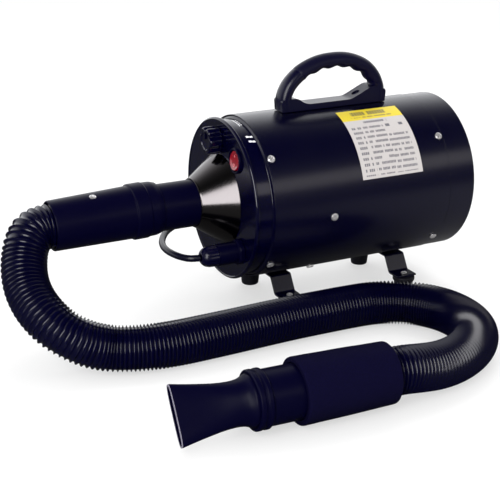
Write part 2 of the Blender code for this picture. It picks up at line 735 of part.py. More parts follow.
def hose_cuff():
    """Soft-lipped cuff pushed over the stub, with its collar, drooping a little."""
    pivot = CUFF_PIVOT
    end = CUFF_END
    profile = [
        (-72.0, 25.3), (-72.4, 25.9), (-77.5, 27.4), (-86.0, 27.6), (-86.8, 28.4),
        (-100.5, 28.4), (-101.6, 26.8), (end + 1.0, 25.1), (end, 24.4), (end, 23.2),
        (-128.0, 23.2), (-126.0, 25.3),
    ]
    shifted = [(x - pivot, radius) for x, radius in profile]
    turned("hose_cuff", shifted, "black_plastic", 32,
           (FRONT_X + pivot, 0, AXIS_HEIGHT), (0, -CUFF_DROOP, 0))


def curve_tube(name, route, spacing, radius, look, resolution):
    data = bpy.data.curves.new(name, "CURVE")
    data.dimensions = "3D"
    data.bevel_depth = radius * MM
    data.bevel_resolution = resolution
    data.use_fill_caps = True
    spline = data.splines.new("POLY")
    points = smooth_route(route, spacing * MM)
    spline.points.add(len(points) - 1)
    for slot, point in zip(spline.points, points):
        slot.co = (*point, 1.0)
    data.materials.append(finish(look))
    made = bpy.data.objects.new(name, data)
    bpy.context.scene.collection.objects.link(made)


def grip():
    """Grip tube with its foam sleeve; x runs from the nozzle towards the hose."""
    at, turn = GRIP_AT, (0, 0, GRIP_TURN)
    tube = [
        (-24.0, 22.4), (-24.0, GRIP_TUBE_RADIUS), (96.0, GRIP_TUBE_RADIUS),
        (96.0, HOSE_RADIUS + 0.6), (-10.0, HOSE_RADIUS + 0.6),
    ]
    turned("grip_tube", tube, "black_plastic", 32, at, turn)
    inner = GRIP_TUBE_RADIUS + GAP
    foam = [
        (5.6, inner), (5.6, FOAM_RADIUS - 2.6), (6.6, FOAM_RADIUS - 0.9), (8.8, FOAM_RADIUS),
        (94.0, 28.4), (96.6, 27.4), (97.6, 25.9), (97.6, inner),
    ]
    turned("foam_grip", foam, "foam", 36, at, turn)


def oval_ring(x, wide, thick, power, sides=32):
    """Rounded-rectangle ring across the nozzle; power 1 is an ellipse, less is squarer."""
    ring = []
    for k in range(sides):
        turn = 2 * math.pi * k / sides
        c, s = math.cos(turn), math.sin(turn)
        y = math.copysign(abs(c) ** power, c) * thick
        z = math.copysign(abs(s) ** power, s) * wide
        ring.append(Vector((x, y, z)))
    return ring


def nozzle():
    """Retaining collar and the flat nozzle, both turned about the grip's axis."""
    at = GRIP_AT
    collar = [
        (-36.8, 23.9), (-36.8, 25.6), (-35.8, 26.8), (-32.2, 26.8), (-31.4, 25.7),
        (-29.4, 25.7), (-28.6, 26.8), (-25.3, 26.8), (-24.3, 25.8), (-24.3, 23.9),
    ]
    turned("nozzle_collar", collar, "black_plastic", 32, at, (0, 0, GRIP_TURN))
    outside = (
        (-26.0, 23.6, 23.6, 1.0), (-37.5, 23.6, 23.6, 1.0), (-41.5, 21.6, 20.2, 1.0),
        (-54.0, 19.8, 15.4, 0.95), (-68.0, 20.9, 11.0, 0.85), (-86.0, 23.8, 7.4, 0.75),
        (-104.5, 27.2, 5.6, 0.6),
    )
    wall = 1.6
    outer = [oval_ring(*row) for row in outside]
    inner = [oval_ring(x, wide - wall, thick - wall, power) for x, wide, thick, power in outside]
    bm = bmesh.new()
    loft(bm, outer + inner[::-1], walled=True)
    bmesh.ops.rotate(bm, verts=bm.verts, matrix=Matrix.Rotation(math.radians(-NOZZLE_TILT), 3, "X"))
    place("nozzle", bm, "black_plastic", at, (0, 0, GRIP_TURN))


# ---------------------------------------------------------------- mains lead

def lead_coil():
    x, y = COIL_AT
    low, high = GAP, GAP + COIL_HEIGHT
    profile = [
        (low, COIL_INNER + 1), (low, COIL_OUTER - 1), (low + 1.5, COIL_OUTER),
        (high - 1.5, COIL_OUTER), (high, COIL_OUTER - 1), (high, COIL_INNER + 1),
        (high - 1.5, COIL_INNER), (low + 1.5, COIL_INNER),
    ]
    turned("lead_coil", profile, "black_plastic", 32, (x, y, 0), (0, -90, 0))


def plug():
    """Three-pin plug lying on the floor, pins pointing away from the coil."""
    relief = [(0.0, 0.0), (0.0, 4.6), (22.5, 6.8), (22.5, 0.0)]
    bm = bmesh.new()
    spun(bm, relief, 16)
    body = place("plug_body", bm, "black_plastic", PLUG_AT, (0, 0, 90))
    block = bmesh.new()
    rings = []
    for x, wide, high in ((21.0, 7.5, 7.5), (26.0, 11.5, 10.5), (30.0, 14.0, 12.0),
                          (42.0, 14.0, 12.0)):
        rings.append([Vector((x, p.y, p.z)) for p in oval_ring(x, high, wide, 0.6, 20)])
    loft(block, rings)
    combine(body, guide("plug_block", block, PLUG_AT, (0, 0, 90)), "UNION")

    bm = bmesh.new()
    box(bm, (2.0, 24.0, 20.0), (42.0 + GAP + 1.0, 0, 0))
    pins = place("plug_pins", bm, "brass", PLUG_AT, (0, 0, 90))
    blades = bmesh.new()
    for y, z, lean in ((-6.9, 3.4, 30), (6.9, 3.4, -30), (0.0, -6.6, 0)):
        turn = Matrix.Rotation(math.radians(lean), 3, "X")
        box(blades, (19.0, 1.6, 6.4), (42.0 + GAP + 1.5 + 9.5, y, z), turn)
    combine(pins, guide("pin_blades", blades, PLUG_AT, (0, 0, 90)), "UNION")


def main():
    clear_scene()
    drill = drills()
    body_shell(drill)
    front_cover(drill)
    rear_cover(drill)
    intake_grille()
    filter_foam()
    outlet_cone()
    outlet_stub()
    motor_housing()
    motor_mount(drill)
    bearings()
    rotor()
    impeller()
    speed_control()
    speed_board()
    speed_knob()
    switch()
    gland()
    handle()
    stand()
    feet()
    shell_screws()
    hose_cuff()
    curve_tube("hose_tube", HOSE_ROUTE, 21.0, HOSE_RADIUS, "black_plastic", 4)
    grip()
    nozzle()
    curve_tube("power_cord", LEAD_ROUTE, 9.0, LEAD_RADIUS, "rubber", 2)
    curve_tube("power_cord_tail", TAIL_ROUTE, 9.0, LEAD_RADIUS, "rubber", 2)
    lead_coil()
    plug()


main()
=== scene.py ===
"""Pet dryer: the visible pieces, their finishes, the stage and the camera."""
import json
import math

import bmesh
import bpy
from bpy.props import FloatProperty, FloatVectorProperty, IntProperty, PointerProperty
from bpy.types import Operator, Panel, PropertyGroup
from mathutils import Matrix, Vector, noise


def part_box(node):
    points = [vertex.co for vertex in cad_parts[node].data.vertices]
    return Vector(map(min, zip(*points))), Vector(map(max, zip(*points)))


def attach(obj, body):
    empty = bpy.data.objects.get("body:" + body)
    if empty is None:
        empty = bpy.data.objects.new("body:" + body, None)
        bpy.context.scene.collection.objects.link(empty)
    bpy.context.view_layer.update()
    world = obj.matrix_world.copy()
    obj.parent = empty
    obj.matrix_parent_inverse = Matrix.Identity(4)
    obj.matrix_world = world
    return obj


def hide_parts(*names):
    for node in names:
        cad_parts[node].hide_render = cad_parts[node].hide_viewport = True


bl_info = {
    "name": "Pet Dryer",
    "version": (1, 0, 0),
    "blender": (4, 5, 0),
    "location": "3D View > Sidebar > Pet Dryer",
    "description": "Builds a portable pet dryer with its hose, grip, nozzle and mains lead",
    "category": "Object",
}

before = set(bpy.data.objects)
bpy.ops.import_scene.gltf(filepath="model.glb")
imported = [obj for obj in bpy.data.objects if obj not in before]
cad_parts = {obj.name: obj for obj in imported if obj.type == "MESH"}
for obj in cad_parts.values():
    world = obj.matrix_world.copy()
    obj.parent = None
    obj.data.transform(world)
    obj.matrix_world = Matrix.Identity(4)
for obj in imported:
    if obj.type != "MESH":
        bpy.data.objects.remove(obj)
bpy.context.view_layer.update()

MM = 0.001
WHITE = (1.0, 1.0, 1.0, 1.0)
CASING_LOW, CASING_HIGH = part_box("body_shell")
BODY_AT = Vector((-72.25, 0.0, 121.0))
GRIP_AT = Vector((-132.25, -264.0, 30.8))
GRIP_TURN = (0, 0, -2.5)
KNOB_AT = BODY_AT + Vector((0.0, 5.5, 61.8))
SWITCH_AT = BODY_AT + Vector((0.0, -37.0, 50.0))
GLAND_AT = BODY_AT + Vector((0.0, -45.0, -43.5))
CUFF_PIVOT = -98.0
CUFF_AT = BODY_AT + Vector((CUFF_PIVOT, 0, 0))
CUFF_TURN = (0, -1.5, 0)
PLUG_AT = Vector((167.75, 205.3, 12.4))
COIL_AT = Vector((117.75, 138.0, 0.0))

# Routes of the free stretches, in metres, from the machine outwards
HOSE_ROUTE = (
    (-0.2463, 0.0000, 0.1190), (-0.2563, 0.0000, 0.1187), (-0.2650, -0.0010, 0.1184),
    (-0.2740, -0.0040, 0.1162), (-0.2822, -0.0100, 0.1090), (-0.2882, -0.0180, 0.0975),
    (-0.2918, -0.0275, 0.0865), (-0.2932, -0.0385, 0.0760), (-0.2918, -0.0520, 0.0660),
    (-0.2868, -0.0670, 0.0560), (-0.2778, -0.0795, 0.0460), (-0.2652, -0.0880, 0.0370),
    (-0.2502, -0.0930, 0.0292), (-0.2332, -0.0970, 0.0240), (-0.2142, -0.1037, 0.0226),
    (-0.1922, -0.1092, 0.0226), (-0.1682, -0.1113, 0.0226), (-0.1430, -0.1110, 0.0226),
    (-0.1170, -0.1102, 0.0226), (-0.0900, -0.1090, 0.0226), (-0.0630, -0.1078, 0.0226),
    (-0.0355, -0.1072, 0.0226), (-0.0085, -0.1074, 0.0226), (0.0198, -0.1080, 0.0226),
    (0.0468, -0.1105, 0.0226), (0.0660, -0.1172, 0.0226), (0.0820, -0.1275, 0.0226),
    (0.0945, -0.1415, 0.0226), (0.1028, -0.1580, 0.0226), (0.1063, -0.1765, 0.0226),
    (0.1055, -0.1950, 0.0226), (0.1000, -0.2125, 0.0226), (0.0895, -0.2290, 0.0226),
    (0.0750, -0.2425, 0.0226), (0.0580, -0.2530, 0.0227), (0.0395, -0.2605, 0.0232),
    (0.0200, -0.2655, 0.0248), (0.0005, -0.2683, 0.0278), (-0.0180, -0.2690, 0.0303),
    (-0.0330, -0.2683, 0.0308), (-0.0480, -0.2677, 0.0308), (-0.0690, -0.2668, 0.0308),
    (-0.0900, -0.2658, 0.0308),
)
LEAD_ROUTE = (
    (-0.1166, -0.0450, 0.0775), (-0.1243, -0.0430, 0.0774), (-0.1312, -0.0345, 0.0772),
    (-0.1362, -0.0190, 0.0770), (-0.1366, -0.0010, 0.0765), (-0.1318, 0.0180, 0.0760),
    (-0.1222, 0.0370, 0.0757), (-0.1092, 0.0540, 0.0755), (-0.0922, 0.0670, 0.0750),
    (-0.0722, 0.0770, 0.0720), (-0.0522, 0.0850, 0.0640), (-0.0342, 0.0920, 0.0500),
    (-0.0182, 0.0975, 0.0320), (-0.0032, 0.1010, 0.0170), (0.0118, 0.1020, 0.0075),
    (0.0278, 0.1005, 0.0040), (0.0478, 0.0972, 0.0038), (0.0698, 0.0945, 0.0038),
    (0.0924, 0.0940, 0.0038), (0.1060, 0.0940, 0.0038),
)
TAIL_ROUTE = (
    (0.1620, 0.1632, 0.0098), (0.1634, 0.1730, 0.0094), (0.1656, 0.1850, 0.0102),
    (0.1675, 0.1955, 0.0122), (0.16775, 0.2047, 0.0124),
)


# ------------------------------------------------------------------ settings

def colour_property(name, description, default):
    return FloatVectorProperty(name=name, description=description, subtype="COLOR", size=3,
                               min=0.0, max=1.0, default=default)


def length_property(name, description, default):
    return FloatProperty(name=name, description=description, default=default,
                         unit="LENGTH", subtype="DISTANCE", min=0.0)


class DryerBodySettings(PropertyGroup):
    """Casing, covers, stand and label."""
    radius: length_property("Casing radius", "Outside radius of the round casing",
                            (CASING_HIGH.z - CASING_LOW.z) / 2)
    facets: IntProperty(name="Facets", description="Faces around the large round pieces",
                        default=144, min=24)
    paint: colour_property("Paint", "Powder coat on casing, covers and stand",
                           (0.0002, 0.0001, 0.0095))
    gloss_roughness: FloatProperty(name="Paint roughness", default=0.25, min=0.0, max=1.0,
                                   subtype="FACTOR", description="Roughness of the paint")
    label_band: colour_property("Label band", "Header band of the label", (0.56, 0.44, 0.015))
    label_sheet: colour_property("Label sheet", "Plain part of the label", (0.405, 0.382, 0.374))
    label_ink: colour_property("Label ink", "Printed rows on the label", (0.035, 0.035, 0.06))


class DryerHoseSettings(PropertyGroup):
    """Ribbed hose."""
    diameter: length_property("Hose diameter", "Across the crests of the ribs", 0.0445)
    rib_pitch: length_property("Rib pitch", "From one rib to the next where it lies flat", 0.0036)
    rib_stretch: FloatProperty(name="Rib stretch", default=1.32, min=1.0, max=2.0,
                               description="How much wider the ribs stand in the first bend")
    rib_depth: length_property("Rib depth", "From crest to valley", 0.0023)
    rubber: colour_property("Hose colour", "Hose material", (0.0003, 0.0002, 0.0112))


class DryerLeadSettings(PropertyGroup):
    """Mains lead and plug."""
    diameter: length_property("Lead diameter", "Across the jacket", 0.0070)
    jacket: colour_property("Jacket", "Jacket of the lead", (0.0003, 0.0002, 0.0090))


class DryerControlSettings(PropertyGroup):
    """Knob, switch and gland."""
    knob_lobes: IntProperty(name="Knob lobes", description="Lobes around the speed knob",
                            default=6, min=3)
    knob_radius: length_property("Knob radius", "Across the lobes, halved", 0.0145)
    rocker: colour_property("Rocker", "Rocker of the switch", (0.22, 0.0008, 0.011))


class DryerGripSettings(PropertyGroup):
    """Hand grip and nozzle."""
    foam: colour_property("Foam", "Foam sleeve", (0.0012, 0.0007, 0.0140))
    foam_pores: FloatProperty(name="Foam pores", default=900.0, min=1.0,
                              description="Pores along one metre of the foam")
    moulding: colour_property("Moulding", "Hard black mouldings", (0.0003, 0.0001, 0.0098))


class DryerStageSettings(PropertyGroup):
    """Floor, light and camera."""
    lens: FloatProperty(name="Lens", description="Focal length on a 36 mm sensor",
                        default=86.5, min=10.0, subtype="DISTANCE_CAMERA")
    floor: colour_property("Floor", "Floor colour", (0.86, 0.86, 0.86))
    key_power: FloatProperty(name="Key power", description="Power of the main soft light",
                             default=26.0, min=0.0, subtype="POWER")


SETTINGS = {
    "dryer_body": DryerBodySettings,
    "dryer_hose": DryerHoseSettings,
    "dryer_lead": DryerLeadSettings,
    "dryer_controls": DryerControlSettings,
    "dryer_grip": DryerGripSettings,
    "dryer_stage": DryerStageSettings,
}


# ------------------------------------------------------------------ node helpers

def set_inputs(tree, node, inputs):
    """Link each input that is given a socket, and set each one that is given a value."""
    for socket, value in inputs.items():
        if isinstance(value, bpy.types.NodeSocket):
            tree.links.new(value, node.inputs[socket])
        else:
            node.inputs[socket].default_value = value


def add_node(tree, kind, inputs=None, **settings):
    """Add a shader node, set its fields, and set or link its inputs."""
    made = tree.nodes.new(kind)
    for field, value in settings.items():
        setattr(made, field, value)
    set_inputs(tree, made, inputs or {})
    return made


def object_place(tree):
    return add_node(tree, "ShaderNodeTexCoord").outputs["Object"]


def add_math(tree, operation, *values, clamp=False):
    inputs = dict(enumerate(values))
    made = add_node(tree, "ShaderNodeMath", inputs, operation=operation, use_clamp=clamp)
    return made.outputs[0]


def mix_colours(tree, factor, first, second):
    inputs = {0: factor, 6: first, 7: second}
    return add_node(tree, "ShaderNodeMix", inputs, data_type="RGBA").outputs[2]


def map_range(tree, value, low, high, at_low, at_high, **more):
    inputs = {0: value, 1: low, 2: high, 3: at_low, 4: at_high}
    return add_node(tree, "ShaderNodeMapRange", inputs, **more).outputs[0]


def new_group(name, inputs, outputs):
    """Start a shader node group; sockets are (name, kind, default)."""
    group = bpy.data.node_groups.new(name, "ShaderNodeTree")
    for title, kind, default in inputs:
        socket = group.interface.new_socket(title, in_out="INPUT", socket_type=kind)
        if default is not None:
            socket.default_value = default
    for title, kind in outputs:
        group.interface.new_socket(title, in_out="OUTPUT", socket_type=kind)
    return group, group.nodes.new("NodeGroupInput"), group.nodes.new("NodeGroupOutput")


def make_grain_group():
    """Surface texture of paint, mouldings and rubber: fine pits over slow waves."""
    group, given, result = new_group(
        "Fine Grain",
        [("Scale", "NodeSocketFloat", 900.0), ("Wave", "NodeSocketFloat", 0.3)],
        [("Height", "NodeSocketFloat")])
    place = object_place(group)
    fine = add_node(group, "ShaderNodeTexNoise", {
        "Vector": place, "Scale": given.outputs["Scale"], "Detail": 3.0, "Roughness": 0.6})
    slow_scale = add_math(group, "MULTIPLY", given.outputs["Scale"], 0.11)
    slow = add_node(group, "ShaderNodeTexNoise", {
        "Vector": place, "Scale": slow_scale, "Detail": 1.0})
    waves = add_math(group, "MULTIPLY", slow.outputs[0], given.outputs["Wave"])
    group.links.new(add_math(group, "ADD", fine.outputs[0], waves), result.inputs["Height"])
    return group


def make_handling_group():
    """Faint dust on upward faces and slow drift in sheen, as on a machine that is used."""
    group, given, result = new_group(
        "Handling",
        [("Colour", "NodeSocketColor", (0.0, 0.0, 0.0, 1.0)),
         ("Dust", "NodeSocketFloat", 0.02),
         ("Roughness", "NodeSocketFloat", 0.3),
         ("Drift", "NodeSocketFloat", 0.1)],
        [("Colour", "NodeSocketColor"), ("Roughness", "NodeSocketFloat")])
    place = object_place(group)
    cloud = add_node(group, "ShaderNodeTexNoise", {
        "Vector": place, "Scale": 26.0, "Detail": 5.0, "Roughness": 0.65})
    specks = add_node(group, "ShaderNodeTexVoronoi", {"Vector": place, "Scale": 320.0})
    normal = add_node(group, "ShaderNodeNewGeometry").outputs["Normal"]
    upward = add_node(group, "ShaderNodeSeparateXYZ", {0: normal}).outputs[2]
    upward = map_range(group, upward, -0.4, 1.0, 0.15, 1.0)
    patches = map_range(group, cloud.outputs[0], 0.35, 0.75, 0.1, 1.0)
    speck = map_range(group, specks.outputs[0], 0.0, 0.22, 1.0, 0.0)
    film = add_math(group, "MULTIPLY", add_math(group, "MULTIPLY", upward, patches),
                    given.outputs["Dust"])
    dots = add_math(group, "MULTIPLY", speck, add_math(group, "MULTIPLY", film, 1.6))
    amount = add_math(group, "ADD", film, dots, clamp=True)
    dusty = mix_colours(group, amount, given.outputs["Colour"], (0.26, 0.25, 0.30, 1.0))
    swing = add_math(group, "MULTIPLY", add_math(group, "SUBTRACT", cloud.outputs[0], 0.5),
                     given.outputs["Drift"])
    rough = add_math(group, "ADD", given.outputs["Roughness"], swing)
    rough = add_math(group, "ADD", rough, amount, clamp=True)
    set_inputs(group, result, {"Colour": dusty, "Roughness": rough})
    return group


def start_material(name):
    material = bpy.data.materials.new(name)
    material.use_nodes = True
    tree = material.node_tree
    return material, tree, tree.nodes["Principled BSDF"]


def use_group(tree, name, maker, values):
    """Place a shared node group, which is made the first time it is asked for."""
    group = bpy.data.node_groups.get(name) or maker()
    return add_node(tree, "ShaderNodeGroup", values, node_tree=group)


def surface(tree, shader, colour, roughness, dust=0.02, drift=0.1, grain=(900.0, 0.3),
            bump=(0.15, 0.0001), height=None):
    """Feed a shader with handled colour and roughness, and with grain as bump."""
    if not isinstance(colour, bpy.types.NodeSocket):
        colour = (*colour, 1.0)
    handled = use_group(tree, "Handling", make_handling_group, {
        "Colour": colour, "Dust": dust, "Roughness": roughness, "Drift": drift})
    fine = use_group(tree, "Fine Grain", make_grain_group, {
        "Scale": grain[0], "Wave": grain[1]}).outputs["Height"]
    if height is not None:
        fine = add_math(tree, "ADD", fine, height)
    relief = add_node(tree, "ShaderNodeBump", {
        "Height": fine, "Strength": bump[0], "Distance": bump[1]})
    set_inputs(tree, shader, {
        "Base Color": handled.outputs["Colour"], "Roughness": handled.outputs["Roughness"],
        "Normal": relief.outputs[0]})


def simple_finish(name, colour, roughness, dust, drift, grain, bump, metallic=0.0,
                  specular=0.5, sheen=0.0):
    """A finish made only of handled colour, roughness and grain."""
    material, tree, shader = start_material(name)
    surface(tree, shader, colour, roughness, dust, drift, grain, bump)
    set_inputs(tree, shader, {
        "Metallic": metallic, "Specular IOR Level": specular, "Sheen Weight": sheen})
    return material


# ------------------------------------------------------------------ finishes

def label_finish():
    """Yellow header over a pale sheet, with broken plain rows in place of wording."""
    body = bpy.context.scene.dryer_body
    material, tree, shader = start_material("Label Print")
    spot = add_node(tree, "ShaderNodeAttribute", attribute_name="label_place")
    place = add_node(tree, "ShaderNodeSeparateXYZ", {0: spot.outputs["Vector"]})
    across, down = place.outputs[0], place.outputs[1]
    band = add_math(tree, "LESS_THAN", down, 17.5)
    paper = mix_colours(tree, band, (*body.label_sheet, 1.0), (*body.label_band, 1.0))

    def between(value, low, high):
        above = add_math(tree, "GREATER_THAN", value, low)
        return add_math(tree, "MULTIPLY", above, add_math(tree, "LESS_THAN", value, high))

    def rows(top, bottom, left, right, pitch, thickness, letter, density):
        """Broken dark rows: each row is cut into letter-sized cells, some left blank."""
        local = add_math(tree, "DIVIDE", add_math(tree, "SUBTRACT", down, top), pitch)
        line = add_math(tree, "LESS_THAN", add_math(tree, "FRACT", local), thickness)
        row = add_math(tree, "FLOOR", local)
        cell = add_math(tree, "DIVIDE", across, letter)
        column = add_math(tree, "FLOOR", cell)
        key = add_node(tree, "ShaderNodeCombineXYZ", {0: column, 1: row, 2: top}).outputs[0]
        toss = add_node(tree, "ShaderNodeTexWhiteNoise", {0: key}).outputs[0]
        inked = add_math(tree, "LESS_THAN", toss, density)
        stroke = add_math(tree, "LESS_THAN", add_math(tree, "FRACT", cell), 0.78)
        area = add_math(tree, "MULTIPLY", between(down, top, bottom), between(across, left, right))
        made = add_math(tree, "MULTIPLY", line, inked)
        made = add_math(tree, "MULTIPLY", made, stroke)
        return add_math(tree, "MULTIPLY", made, area)

    blocks = (
        rows(4.0, 11.5, 14.0, 56.0, 8.0, 0.80, 3.1, 0.90),
        rows(12.6, 15.4, 12.0, 60.0, 2.8, 0.70, 1.4, 0.80),
        rows(20.0, 23.6, 22.0, 50.0, 4.0, 0.75, 2.6, 0.95),
        rows(27.5, 83.0, 4.5, 15.5, 6.0, 0.50, 2.3, 0.92),
        rows(27.5, 83.0, 18.0, 42.0, 6.0, 0.46, 1.7, 0.74),
        rows(40.0, 83.0, 42.0, 67.0, 6.0, 0.44, 1.7, 0.80),
        rows(27.0, 31.0, 44.0, 50.0, 9.0, 0.40, 7.5, 1.0),
        rows(27.0, 31.0, 61.0, 67.0, 9.0, 0.40, 7.5, 1.0),
    )
    ink = blocks[0]
    for block in blocks[1:]:
        ink = add_math(tree, "MAXIMUM", ink, block)
    fade = add_node(tree, "ShaderNodeTexNoise", {
        "Vector": spot.outputs["Vector"], "Scale": 0.9, "Detail": 3.0})
    wear = map_range(tree, fade.outputs[0], 0.3, 0.7, 0.55, 1.0)
    printed = mix_colours(tree, add_math(tree, "MULTIPLY", ink, wear), paper,
                          (*body.label_ink, 1.0))
    surface(tree, shader, printed, 0.42, dust=0.01, drift=0.12, grain=(500.0, 0.5),
            bump=(0.1, 0.0001))
    set_inputs(tree, shader, {"Coat Weight": 0.25, "Coat Roughness": 0.25})
    return material


def foam_finish():
    """Closed-cell foam: crowded tiny cells, dull, with a soft bloom at its edge, and painted shade
    darkening the pits of the cells.
    """
    grip = bpy.context.scene.dryer_grip
    material, tree, shader = start_material("Grip Foam")
    place = object_place(tree)
    cells = add_node(tree, "ShaderNodeTexVoronoi", {"Vector": place, "Scale": grip.foam_pores})
    pits = map_range(tree, cells.outputs[0], 0.0, 0.5, 0.0, 1.0)
    # Painted shade: the cells' pits, low in the bump, are mixed towards near-black.
    tint = map_range(tree, cells.outputs[0], 0.1, 0.7, 0.35, 0.0)
    colour = mix_colours(tree, tint, (*grip.foam, 1.0), (0.0005, 0.0005, 0.003, 1.0))
    surface(tree, shader, colour, 0.80, dust=0.001, drift=0.1, grain=(420.0, 1.2),
            bump=(0.5, 0.0004), height=pits)
    shader.inputs["Specular IOR Level"].default_value = 0.05
    return material


def brushed_finish(name, colour, roughness, direction):
    """Metal with drawn streaks; direction is the axis that the streaks run along."""
    material, tree, shader = start_material(name)
    place = object_place(tree)
    stretch = [1400.0, 1400.0, 1400.0]
    stretch["XYZ".index(direction)] = 60.0
    moved = add_node(tree, "ShaderNodeMapping", {"Vector": place, "Scale": stretch})
    streaks = add_node(tree, "ShaderNodeTexNoise", {
        "Vector": moved.outputs[0], "Scale": 1.0, "Detail": 3.0})
    swing = map_range(tree, streaks.outputs[0], 0.3, 0.7, roughness * 0.75, roughness * 1.3)
    surface(tree, shader, colour, swing, dust=0.01, drift=0.05,
            grain=(700.0, 0.2), bump=(0.08, 0.0001), height=streaks.outputs[0])
    shader.inputs["Metallic"].default_value = 1.0
    return material


def board_finish():
    """Green solder mask with a faint weave and pale tracks."""
    material, tree, shader = start_material("Circuit Board")
    place = object_place(tree)
    weave = add_node(tree, "ShaderNodeTexChecker", {"Vector": place, "Scale": 900.0})
    tracks = add_node(tree, "ShaderNodeTexBrick", {"Vector": place, "Scale": 160.0})
    green = mix_colours(tree, 0.25, (0.012, 0.11, 0.045, 1.0), weave.outputs[0])
    green = mix_colours(tree, add_math(tree, "MULTIPLY", tracks.outputs[1], 0.4), green,
                        (0.10, 0.32, 0.14, 1.0))
    surface(tree, shader, green, 0.38, dust=0.02, grain=(600.0, 0.2))
    return material


def rocker_finish():
    """Glossy red moulding, a little deeper in colour in slow random patches."""
    material, tree, shader = start_material("Rocker Red")
    red = bpy.context.scene.dryer_controls.rocker
    place = object_place(tree)
    cloud = add_node(tree, "ShaderNodeTexNoise", {"Vector": place, "Scale": 120.0})
    deep = mix_colours(tree, cloud.outputs[0], (*red, 1.0), (red[0] * 0.6, 0.0, 0.004, 1.0))
    surface(tree, shader, deep, 0.22, dust=0.004, grain=(500.0, 0.2), bump=(0.05, 0.0001))
    set_inputs(tree, shader, {"Coat Weight": 0.4, "Coat Roughness": 0.12})
    return material


def make_finishes():
    scene = bpy.context.scene
    body, hose, lead, grip = (scene.dryer_body, scene.dryer_hose, scene.dryer_lead,
                              scene.dryer_grip)
    return {
        "paint": simple_finish("Body Paint", body.paint, body.gloss_roughness, 0.0015, 0.05,
                               (620.0, 1.4), (0.10, 0.00012)),
        "cover": simple_finish("Cover Paint", body.paint, body.gloss_roughness * 0.6, 0.001,
                               0.05, (620.0, 1.4), (0.05, 0.0001)),
        "cone": simple_finish("Cone Paint", (0.104, 0.096, 0.098), 0.15, 0.002, 0.05,
                              (700.0, 1.0), (0.05, 0.0001), metallic=1.0),
        # Lighter grey on the nozzle's mouth lip: a painted highlight standing in for the bright
        # rim line.
        "rim_highlight": simple_finish("Rim Highlight Paint", (0.15, 0.14, 0.18), 0.35, 0.002, 0.2,
                                   (700.0, 1.0), (0.2, 0.0001)),
        "moulding": simple_finish("Black Moulding", grip.moulding, 0.36, 0.002, 0.08,
                                  (520.0, 0.8), (0.15, 0.0001), specular=0.08),
        "gloss": simple_finish("Handle Gloss", (0.0004, 0.0002, 0.0125), 0.28, 0.002, 0.06,
                               (420.0, 1.2), (0.08, 0.0001), specular=0.4),
        "soft": simple_finish("Handle Rubber", (0.0006, 0.0003, 0.0140), 0.46, 0.003, 0.1,
                              (1300.0, 0.4), (0.35, 0.00015), specular=0.22),
        "hose": simple_finish("Hose Plastic", hose.rubber, 0.22, 0.001, 0.10,
                              (420.0, 0.8), (0.10, 0.0001), specular=0.42),
        "lead": simple_finish("Lead Jacket", lead.jacket, 0.34, 0.003, 0.1,
                              (900.0, 0.4), (0.15, 0.0001), specular=0.4),
        "rubber": simple_finish("Foot Rubber", (0.0010, 0.0008, 0.0070), 0.60, 0.008, 0.12,
                                (800.0, 0.6), (0.3, 0.00015)),
        "nickel": simple_finish("Nickel Plate", (0.86, 0.84, 0.85), 0.36, 0.01, 0.1,
                                (1500.0, 0.3), (0.05, 0.0001), metallic=0.88),
        "faint": simple_finish("Faint Print", (0.62, 0.16, 0.18), 0.4, 0.01, 0.1,
                               (1500.0, 0.4), (0.2, 0.0001)),
        "print": simple_finish("White Print", (0.70, 0.70, 0.72), 0.5, 0.01, 0.1,
                               (1500.0, 0.4), (0.2, 0.0001)),
        "tie": simple_finish("Tie Strap", (0.0040, 0.0040, 0.0090), 0.7, 0.02, 0.1,
                             (1600.0, 0.3), (0.5, 0.0003), sheen=0.05),
        "filter": simple_finish("Filter Foam", (0.010, 0.010, 0.016), 0.9, 0.05, 0.1,
                                (260.0, 0.6), (0.8, 0.0012)),
        "windings": simple_finish("Windings", (0.30, 0.12, 0.05), 0.42, 0.02, 0.1,
                                  (900.0, 0.5), (0.5, 0.0004), metallic=0.7),
        "steel": brushed_finish("Drawn Steel", (0.50, 0.50, 0.52), 0.34, "X"),
        "alloy": brushed_finish("Turned Alloy", (0.72, 0.73, 0.75), 0.36, "Y"),
        "brass": brushed_finish("Pin Brass", (0.78, 0.60, 0.28), 0.26, "X"),
        "board": board_finish(),
        "rocker": rocker_finish(),
        "foam": foam_finish(),
        "label": label_finish(),
    }


FINISHES = {}


def finish(name):
    if not FINISHES:
        FINISHES.update(make_finishes())
    return FINISHES[name]


# ------------------------------------------------------------------ mesh helpers

def even_normals(piece):
    """Let large faces set the shading, so that fillets don't bend it across them."""
    weighted = piece.modifiers.new("even_normals", "WEIGHTED_NORMAL")
    weighted.keep_sharp = True
    weighted.weight = 90


def add_object(name, data):
    made = bpy.data.objects.new(name, data)
    bpy.context.scene.collection.objects.link(made)
    return made


def mesh_from(name, bm, material):
    mesh = bpy.data.meshes.new(name)
    bm.to_mesh(mesh)
    bm.free()
    mesh.materials.append(material)
    return mesh


